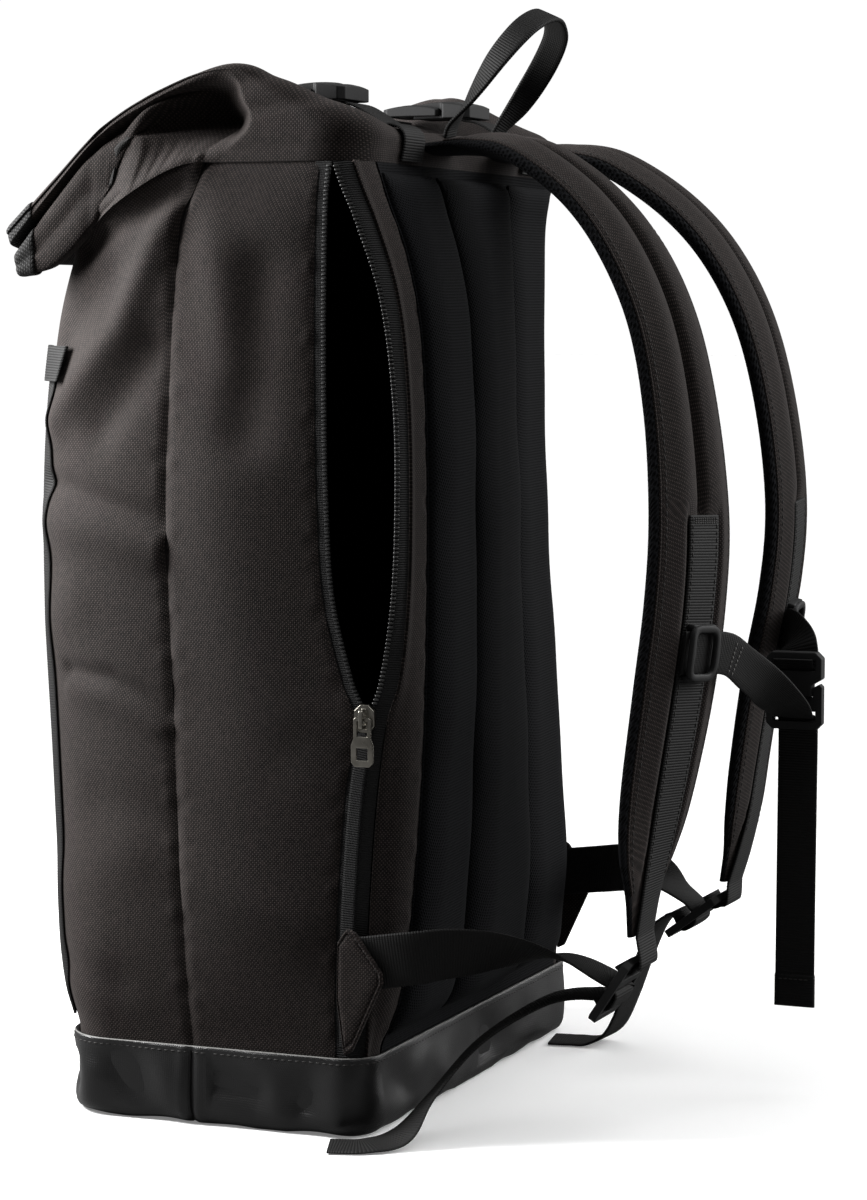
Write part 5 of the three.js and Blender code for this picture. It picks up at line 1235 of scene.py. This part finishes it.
def strap_cloth(side, flip):
    """A quilted strap with its piping and stitching, flat where the webbing is sewn on."""
    at = np.linspace(0, STRAP_END, STRAP_ROWS)
    centre, across, out, half, thick = strap_frame(side, at)
    steps = np.sin(np.linspace(-math.pi / 2, math.pi / 2, STRAP_COLUMNS))
    edge = np.sqrt(np.clip(1 - np.abs(steps) ** 2.6, 0, 1))
    bare = eased(at, 0.8, 2.4) * (1 - eased(at, 12.2, 13.4))
    face_rows, back_rows = [], []
    for k in range(STRAP_ROWS):
        place = steps * half[k]
        groove = 1 - QUILT_DEPTH * bare[k] * np.exp(-((place / QUILT_WIDTH) ** 2))
        from_tube = (np.abs(place) - TUBE_AT * half[k]) / (TUBE_WIDTH * half[k])
        tubes = 1 + TUBE_SWELL * bare[k] * np.exp(-(from_tube**2))
        web_bed = eased(at[k], 7.8, 8.2) * eased(STRAP_FLAT + 3 - np.abs(place), 0, 3)
        seam = 1 - 0.16 * bare[k] * np.exp(-(((np.abs(steps) - STRAP_SEAM) / 0.02) ** 2))
        rise = thick[k] * edge * seam * (groove * tubes * (1 - web_bed) + 0.97 * web_bed)
        under = -thick[k] * edge * STRAP_BACK
        face_rows.append(centre[k] + across[k] * place[:, None] + out[k] * rise[:, None])
        back_rows.append(centre[k] + across[k] * place[:, None] + out[k] * under[:, None])
    face, under = np.array(face_rows) * flip, np.array(back_rows) * flip
    outward = facing(face, out[:, None] * flip)
    rim = ((np.abs(steps[1:]) + np.abs(steps[:-1])) / 2 > STRAP_SEAM).astype(int)
    piece = cloth_piece(f"shoulder_strap_{side}_pad", face, under, [cloth, rim_mesh], patch=rim)
    dress(piece, f"shoulder_strap_{side}")
    for edge_name, way in (("outer", 1), ("inner", -1)):
        column = int(np.argmin(np.abs(steps - way * STRAP_SEAM)))
        name = f"shoulder_strap_{side}_{edge_name}"
        tube = round_cord(f"{name}_piping", face[PIPED, column], PIPING, cloth)
        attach(tube, "bag")
        inside = face[PIPED, column - 3 * way]
        stitch_row(f"{name}_stitching", inside, outward[PIPED, column], dark_thread, 2.6, 1.0, 0.3)


for side, flip in SIDES.items():
    strap_cloth(side, flip)

# Strap webbing and adjusters. Webbing is sewn down the middle of each shoulder strap and runs on through a
# ladder lock. The lower webbing comes from a cloth wing at the base, goes round the lock's bars and ends in a
# free tail.
WEB_SEAT, WEB_TOP, SEWN_END = 0.4, 8.0, 12.6
THREAD_LIFT = 0.8
TACK_SHIFTS = (1.6, 2.6, 3.6)
LOCKS = {
    "right": ((80.0, 194.0, 84.0), (0.0, -0.548, -0.836)),
    "left": ((80.0, 187.0, 88.0), (0.0, -0.8, -0.6)),
}
STRAP_WEB_END = ((-1.4, 4.4), (2.2, 3.6), (5.4, 2.6), (7, 0), (6.6, -5))
LOCK_WEAVE = ((17, -7), (17, 0), (18.2, 2.9), (22, 3.6), (25.8, 2.9), (27, 0), (27, -7))
LOWER = {
    "right": (
        (142.6, 74, 83, 0, -0.3, 0.95), (139, 101, 87, 0.05, -0.1, 1), (127, 121, 89, 0.3, 0, 0.95),
        (111, 143, 88, 0.8, 0, 0.6), (94, 163, 83, 1, 0, 0.15),
    ),
    "left": (
        (142.6, 74, 83, 0, -0.3, 0.95), (138, 101, 87, 0.05, -0.1, 1), (123, 119, 91, 0.3, 0, 0.95),
        (104, 136, 93, 0.8, 0, 0.6), (88, 152, 91, 1, 0, 0.15),
    ),
}
TAILS = {
    "right": (
        (92, 153, 63, 1, 0.25, 0), (108, 126, 45, 1, 0.4, 0.1), (125, 108, 21, 1, 0.5, 0.15),
        (140, 98, 4.4, 0.75, 0.65, 0), (152, 86, 1.4, 0.85, 0.5, 0), (158, 70, 1.2, 1, 0.15, 0),
    ),
    "left": (
        (84, 150, 69, 1, 0.1, 0), (90, 140, 50, 1, 0.1, 0), (96, 130, 27, 1, 0.1, 0),
        (101, 120, 9, 1, 0.1, 0), (102, 109, 2, 1, 0.05, 0), (101, 98, 1.2, 1, 0, 0), (99, 86, 1.2, 1, 0, 0),
    ),
}


def lock_points(side, rows):
    """Places of the webbing in a ladder lock, from steps along the lock and out of it."""
    top, run = (np.array(part) for part in LOCKS[side])
    run = unit(run)
    out = np.array([0, -run[2], run[1]])
    return [(*(top + run * along + out * rise), 1, 0, 0) for along, rise in rows]


for side, flip in SIDES.items():
    at = np.linspace(WEB_TOP, STRAP_END, 60)
    centre, across, out, _, thick = strap_frame(side, at)
    upper = centre + out * (thick + WEB_SEAT + WEB_THICK / 2)[:, None]
    threaded, threaded_side = routed([(*upper[-1], 1, 0, 0), *lock_points(side, STRAP_WEB_END)])
    line = np.concatenate([upper, threaded[1:]]) * flip
    sideways = np.concatenate([across, threaded_side[1:]]) * flip
    name = f"strap_webbing_{side}"
    strap = web_strap(f"{name}_webbing", line, sideways, WEB_WIDTH, WEB_THICK, webbing)
    dress(strap, name)
    sewn = at < SEWN_END
    for edge, offset in (("inner", -10.4), ("outer", 10.4)):
        thread_line = (upper[sewn] + across[sewn] * offset + out[sewn] * THREAD_LIFT) * flip
        stitch_row(f"{name}_{edge}_stitching", thread_line, out[sewn] * flip, dark_thread, 2.4, 0.8, 0.28)
    share = np.linspace(-10.6, 10.6, 40)[:, None]
    tack_out = np.tile(out[0] * flip, (len(share), 1))
    for row, shift in enumerate(TACK_SHIFTS):
        start = upper[0] + unit(upper[1] - upper[0]) * shift + out[0] * THREAD_LIFT
        thread_line = (start + across[0] * share) * flip
        stitch_row(f"{name}_tack_{row}", thread_line, tack_out, dark_thread, 1.7, 0.25, 0.34)
    line, sideways = routed([*LOWER[side], *lock_points(side, LOCK_WEAVE), *TAILS[side]])
    name = f"lower_webbing_{side}"
    strap = web_strap(f"{name}_webbing", line * flip, sideways * flip, WEB_WIDTH, WEB_THICK, webbing)
    dress(strap, name)

# Strap wings. A folded triangle of the body cloth at each lower rear corner, sewn into the side and stitched
# round its edge. It holds the lower webbing.
WING = ((69.5, 94), (74, 100.5), (78.5, 98.5), (91.5, 80.5), (91.8, 76), (76.5, 43), (72.5, 41), (69, 66))
WING_X, WING_THICK, WING_POINTS = 144.2, 2.2, 160
WING_MIDDLE = np.array([76.5, 77.0])
WING_LAYERS = (
    ("share", "height"),
    (0.06, -0.2), (0.0, 0.0), (0.0, 0.5), (0.012, 0.85), (0.04, 1.0), (0.085, 0.94), (0.11, 0.72),
    (0.135, 0.94), (0.2, 1.06), (0.4, 1.15), (0.7, 1.1), (0.95, 1.1),
)
WING_STITCHED = 6
for side, flip in SIDES.items():
    rim = evenly(np.array([*WING, WING[0]], float), WING_POINTS + 1)[:-1]
    rings = []
    for share, height in WING_LAYERS[1:]:
        y, z = (rim + (WING_MIDDLE - rim) * share).T
        rings.append(np.stack([np.full(WING_POINTS, WING_X + height * WING_THICK), y, z], 1) * flip)
    rings = np.array(rings)
    wing = stacked(f"strap_wing_{side}_cloth", rings, [cloth], flat=rings[..., 1:])
    line = np.concatenate([rings[WING_STITCHED], rings[WING_STITCHED][:1]])
    outward = np.tile(flip * [1.0, 0.0, 0.0], (len(line), 1))
    stitch_row(f"strap_wing_{side}_stitching", line, outward, dark_thread, 2.4, 0.9, 0.34)
    dress(wing, f"strap_wing_{side}")

# Sternum strap. Narrow webbing from a slider on each shoulder strap. The right one is clipped into the left
# one's buckle and hangs down from it as a long free tail with a folded hem.
STERNUM_RIGHT = (
    (52, 228.5, 224, 0, 0.1, 1), (38, 231.5, 217, 0.15, 0.15, 1), (20, 234.5, 208.5, 0.3, 0.3, 0.95),
    (2, 237, 199.5, 0.4, 0.6, 0.7), (-14, 238, 192.5, 0.3, 0.9, 0.4), (-26.5, 236.6, 187.2, 0, 1, 0),
    (-32, 236, 186.9, 0, 1, 0), (-36.8, 236, 184.6, 0, 1, 0), (-37.8, 236, 176, 0, 1, 0),
    (-38, 235.8, 150, 0, 1, 0), (-37.5, 235.6, 95, 0, 1, 0), (-37.5, 235.4, 42, 0, 1, 0),
)
STERNUM_LEFT = (
    (-54, 226, 227.4, 0, 0.15, 1), (-45, 231, 226, 0.2, 0.6, 0.8), (-39, 235, 221.4, 0.1, 1, 0.2),
    (-37, 236.2, 215.4, 0, 1, 0), (-34.6, 236, 210.4, 0, 1, 0), (-29.4, 236, 210.4, 0, 1, 0),
    (-27, 236, 215, 0, 1, 0),
)
STERNUM_WIDTH, STERNUM_THICK = 20.0, 1.4
TACK_X = (50.0, 46.5)
TAIL_HEM, TAIL_HEM_THICK, TAIL_STITCH = 17, 3.2, 2.2
SLIDER_LONG, SLIDER_WIDE, SLIDER_BAR, SLIDER_THICK = 25.0, 26.5, 3.8, 3.0
SLIDER_STEP, SLIDER_GAP, TUNNEL_LIFT = 9.5, 0.3, 1.4
FRAME_LIFT, FRAME_CREST = 1.9, 0.9
FOOT_INSET, FOOT_LIFT = 1.5, 1.5
BLOCK_RINGS = (
    (-1, 0.72), (-0.97, 0.86), (-0.9, 0.96), (-0.8, 1), (0.8, 1), (0.9, 0.96), (0.97, 0.86), (1, 0.72),
)
grey_thread = speckled(
    "grey_thread", {"Roughness": 0.65, "Specular IOR Level": 0.3}, 1500.0, 1.0,
    (0.08, 0.078, 0.074), (0.2, 0.195, 0.185),
)


def squarish(count, power):
    """Points round a square with soft corners, from -1 to 1."""
    turns = np.linspace(0, 2 * math.pi, count + 1)[:-1]
    loop = np.stack([np.cos(turns), np.sin(turns)], 1)
    return np.sign(loop) * np.abs(loop) ** power


def soft_block(centre, axes, sizes):
    """Rings of a block with rounded edges, along its third axis."""
    rings = []
    for share, scale in BLOCK_RINGS:
        section = squarish(28, 0.4) * scale * np.array(sizes[:2]) / 2
        middle = centre + axes[2] * share * sizes[2] / 2
        rings.append(middle + section[:, :1] * axes[0] + section[:, 1:] * axes[1])
    return np.array(rings)


def slider_seat(side):
    """Where a slider sits: its place on the strap, the ways across, along and out, and its height."""
    centre, across, out, _, thick = (part[0] for part in strap_frame(side, np.array([SLIDER_STEP])))
    along = np.cross(out, across)
    along = along if along[2] > 0 else -along
    return centre, across, along, out, thick + WEB_SEAT + WEB_THICK + SLIDER_GAP


def slider_frame(side, flip):
    """A ladder slider: an open frame over the sternum webbing, on two feet that grip the strap's webbing."""
    centre, across, along, out, seat = slider_seat(side)
    path = squarish(64, 0.42) * np.array([SLIDER_LONG - SLIDER_BAR, SLIDER_WIDE - SLIDER_BAR]) / 2
    outwards = unit(path / np.array([SLIDER_LONG, SLIDER_WIDE]))
    section = squarish(16, 0.6) * np.array([SLIDER_BAR, SLIDER_THICK]) / 2
    crest = seat + FRAME_LIFT + SLIDER_THICK / 2 + FRAME_CREST * (1 - (path[:, 1] / SLIDER_WIDE * 2) ** 2)
    flat = path[:, None] + outwards[:, None] * section[None, :, :1]
    height = crest[:, None] + section[None, :, 1]
    rings = (centre + flat[..., :1] * across + flat[..., 1:] * along + height[..., None] * out) * flip
    count, around = rings.shape[:2]
    spots = np.pad(np.arange(count * around).reshape(count, around), ((0, 1), (0, 1)), mode="wrap")
    faces = [
        [spots[k, j], spots[k, j + 1], spots[k + 1, j + 1], spots[k + 1, j]]
        for k in range(count) for j in range(around)
    ]
    spans = [[(0, 0)] * 4] * len(faces)
    ring = new_piece(f"sternum_slider_{side}_frame", rings.reshape(-1, 3), faces, spans, [plastic])
    turned_out(ring)
    dress(ring, f"sternum_slider_{side}")
    for end, way in (("upper", 1), ("lower", -1)):
        place = centre + along * way * (SLIDER_WIDE / 2 - FOOT_INSET) + out * (seat + FOOT_LIFT)
        block = soft_block(place, (along, out, across), (3.0, 4.0, SLIDER_LONG - 5)) * flip
        foot = stacked(f"sternum_slider_{side}_{end}_foot", block, [plastic])
        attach(foot, "bag")


for side, flip in SIDES.items():
    slider_frame(side, flip)
for side, rows in (("right", STERNUM_RIGHT), ("left", STERNUM_LEFT)):
    centre, across, along, out, seat = slider_seat(side)
    tunnel = centre + out * (seat + TUNNEL_LIFT)
    flip = SIDES[side]
    start = [(*((tunnel + across * shift) * flip), *(along * flip)) for shift in (14.0, 0.0, -14.0)]
    line, sideways = routed([*start, *rows])
    strap = web_strap(f"sternum_strap_{side}_webbing", line, sideways, STERNUM_WIDTH, STERNUM_THICK, webbing)
    dress(strap, f"sternum_strap_{side}")
    if side == "left":
        continue
    for row, stitched_x in enumerate(TACK_X):
        spot = int(np.abs(line[:, 0] - stitched_x).argmin())
        face_way = unit(np.cross(line[spot + 1] - line[spot - 1], sideways[spot]))
        face_way = face_way * math.copysign(1, face_way[0])
        share = np.linspace(-8.8, 8.8, 30)[:, None]
        thread_line = line[spot] + sideways[spot] * share + face_way * THREAD_LIFT
        outward = np.tile(face_way, (len(share), 1))
        stitch_row(f"sternum_tack_{row}", thread_line, outward, grey_thread, 1.7, 0.5, 0.3)
    hem_line = line[np.linalg.norm(line - line[-1], axis=1) < TAIL_HEM]
    hem_side = sideways[-len(hem_line):]
    tail_hem = web_strap("sternum_tail_hem", hem_line, hem_side, STERNUM_WIDTH + 0.5, TAIL_HEM_THICK, webbing)
    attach(tail_hem, "bag")
    edge = np.linspace(-8.6, 8.6, 30)[:, None]
    across_tail = hem_line[0] - np.array([0, 0, TAIL_STITCH]) + edge * np.array([0, 1.0, 0])
    for face_name, way in (("front", 1.0), ("rear", -1.0)):
        thread_line = across_tail + np.array([1.65 * way, 0, 0])
        outward = np.tile([way, 0.0, 0.0], (len(edge), 1))
        stitch_row(f"sternum_tail_{face_name}_stitching", thread_line, outward, dark_thread, 2.0, 0.6, 0.3)

# Zip. Two woven tapes with a nylon coil along their edges, parted above the slider and closed below it. The
# slider and its puller are cast metal plated in aged nickel.
ZIP_SLIDER_Z = 198.0
TAPE_POINTS, TAPE_THICK, TAPE_SINK, TAPE_UNDER = 14, 1.1, 0.9, 1.5
COIL_RINGS = ((-1.9, 0.75), (-1.5, 1.0), (-0.4, 1.05), (0.25, 0.95), (0.5, 0.55))
COIL_PITCH, COIL_WIDE, COIL_TALL, COIL_LIFT = 1.9, 0.6, 0.7, 0.25
COIL_START, CHAIN_FOOT, CHAIN_TOP = 7, 42, 6
CHAIN_WIDTH, CHAIN_THICK, CHAIN_RIB, CHAIN_LIFT = 7.0, 1.5, 1.5, 0.2
zip_tape = ribbed_tape("zip_tape", (0.002, 0.002, 0.0021), (0.0115, 0.0113, 0.0115), 0.0011, 0.0004)
coil = speckled(
    "zip_coil", {"Roughness": 0.34, "Specular IOR Level": 0.5}, 900.0, 1.0,
    (0.012, 0.012, 0.012), (0.05, 0.05, 0.049),
)
dark_coil = speckled(
    "zip_coil_in_shade", {"Roughness": 0.5, "Specular IOR Level": 0.3}, 900.0, 1.0,
    (0.004, 0.004, 0.004), (0.016, 0.016, 0.016),
)
tape_heights = np.linspace(30, 451.7, 230)


def front_tape_line(z):
    half, teeth = along_rows(BODY, "half", z), along_rows(SIDE, "front_teeth", z) - TEETH_GAP / 2
    across = np.linspace(teeth - FRONT_TAPE - TAPE_UNDER, teeth, TAPE_POINTS)
    return np.stack([np.full(TAPE_POINTS, half - TAPE_SINK), across], 1)


def back_tape_line(z):
    return rear_corner(z, lambda length: np.linspace(1 - (TAPE_WIDTH - 0.6) / length, 1, TAPE_POINTS))


def coil_row(name, edge, inward, outward, finish):
    """The zip's teeth: small rounded hooks set close along the tape's edge."""
    run = run_along(edge)
    lowest = np.interp(ZIP_SLIDER_Z + COIL_START, edge[:, 2], run)
    hooks = []
    for where in np.arange(lowest, run[-1] - COIL_PITCH, COIL_PITCH):
        centre, into, out = (at_run(where, run, values) for values in (edge, inward, outward))
        into, out = unit(into), unit(out)
        side = unit(np.cross(into, out))
        rings = []
        for reach, swell in COIL_RINGS:
            wide = np.outer(np.cos(STUD_TURNS) * COIL_WIDE * swell, side)
            tall = np.outer(COIL_LIFT + np.sin(STUD_TURNS) * COIL_TALL * swell, out)
            rings.append(centre - into * reach + wide + tall)
        hooks.append(rings)
    piece = studded(name, np.array(hooks), finish)


for node, line, way, teeth in (
    ("zip_tape_front", front_tape_line, (1, 0, 0), dark_coil),
    ("zip_tape_back", back_tape_line, (1, 0.6, 0), coil),
):
    grid = upright(line, tape_heights)
    outward = facing(grid, np.array(way, float))
    tape = cloth_piece(f"{node}_cloth", grid, grid - outward * TAPE_THICK, [zip_tape])
    dress(tape, node)
    coil_row(f"{node}_coil", grid[:, -1], unit(grid[:, -4] - grid[:, -1]), outward[:, -1], teeth)

closed = tape_heights[(tape_heights > CHAIN_FOOT) & (tape_heights < ZIP_SLIDER_Z - CHAIN_TOP)]
middle = (along_rows(SIDE, "front_teeth", closed) + along_rows(SIDE, "back_teeth", closed)) / 2
line = np.stack([along_rows(BODY, "half", closed) + CHAIN_LIFT, middle, closed], 1)
across = np.tile([0.0, 1.0, 0.0], (len(line), 1))
chain = web_strap("zip_chain", line, across, CHAIN_WIDTH, CHAIN_THICK, zip_tape, CHAIN_RIB)
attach(chain, "bag")


def aged_nickel():
    """Plated metal, darkened and dulled in clouds."""
    finish = Finish("aged_nickel", {"Metallic": 1.0})
    cloud, grain = finish.noise(120.0, 4.0), finish.noise(1500.0, 2.0)
    finish.tinted(cloud, (0.1, 0.094, 0.082), (0.4, 0.38, 0.335))
    finish.feed("Roughness", 0.2 + 0.2 * cloud)
    finish.bumped(grain + cloud, 0.00006, 0.5)
    return finish


nickel = aged_nickel()
rounded_part("zip_slider_casting", "zip_slider", nickel, 0.5)
rounded_part("zip_puller_casting", "zip_puller", nickel, 0.45, body="puller")

# Front webbing. A strip of ribbed webbing runs up each front corner from the base, sewn to the panel along
# its edges. Its top end is held under a short stitched tab.
CORNER_ANGLE = -3 * math.pi / 8
CORNER_RIB = 0.65
LONG_STRIP = 100


def corner_webbing(name, side, low, high, towards_seam, towards_middle, lift, thick):
    """Webbing on the corner of the front panel, bent and creased with its cloth."""
    z = np.linspace(low, high, int((high - low) / CORNER_RIB))
    rows = np.interp(z, heights, np.arange(PANEL_ROWS))
    radius = along_rows(BODY, "front_round", z)
    lean = SIDES[side][0]
    x = (along_rows(BODY, "half", z) - radius + radius * math.cos(CORNER_ANGLE)) * lean
    y = along_rows(BODY, "front", z) + radius + radius * math.sin(CORNER_ANGLE)
    nearby = front_grid[np.rint(rows).astype(int)][..., :2]
    away = np.linalg.norm(nearby - np.stack([x, y], 1)[:, None], axis=2)
    bends = 4 if high - low > LONG_STRIP else 1
    middle = np.polyval(np.polyfit(z - z.mean(), away.argmin(1), bends), z - z.mean())
    profile = web_profile(1.0, 1.0)[:9]
    place = (profile[:, 0] + 0.5) * (towards_seam + towards_middle) - towards_seam
    spacing = np.linalg.norm(np.diff(front_grid[PANEL_ROWS // 2], axis=0), axis=1).mean()
    columns = middle[:, None] + lean * place[None, :] / spacing
    rows = np.broadcast_to(rows[:, None], columns.shape)
    cloth_spot, out = between(front_face, rows, columns), between(front_out, rows, columns)
    swell = np.where(np.arange(len(z)) % 2 == 0, RIB_HIGH, RIB_LOW)[:, None] * profile[None, :, 1]
    over = cloth_spot + out * (lift + thick * (0.5 + swell))[..., None]
    under = cloth_spot + out * (lift + thick * (0.5 - swell))[..., None]
    strap = cloth_piece(f"{name}_{side}_webbing", over, under, [webbing])
    dress(strap, f"{name}_{side}")


for side in SIDES:
    corner_webbing("front_strap", side, 46.0, 362.0, 10.0, 10.0, 0.2, WEB_THICK)
    corner_webbing("front_tab", side, 350.0, 367.0, 20.0, 11.0, 1.9, 2.2)
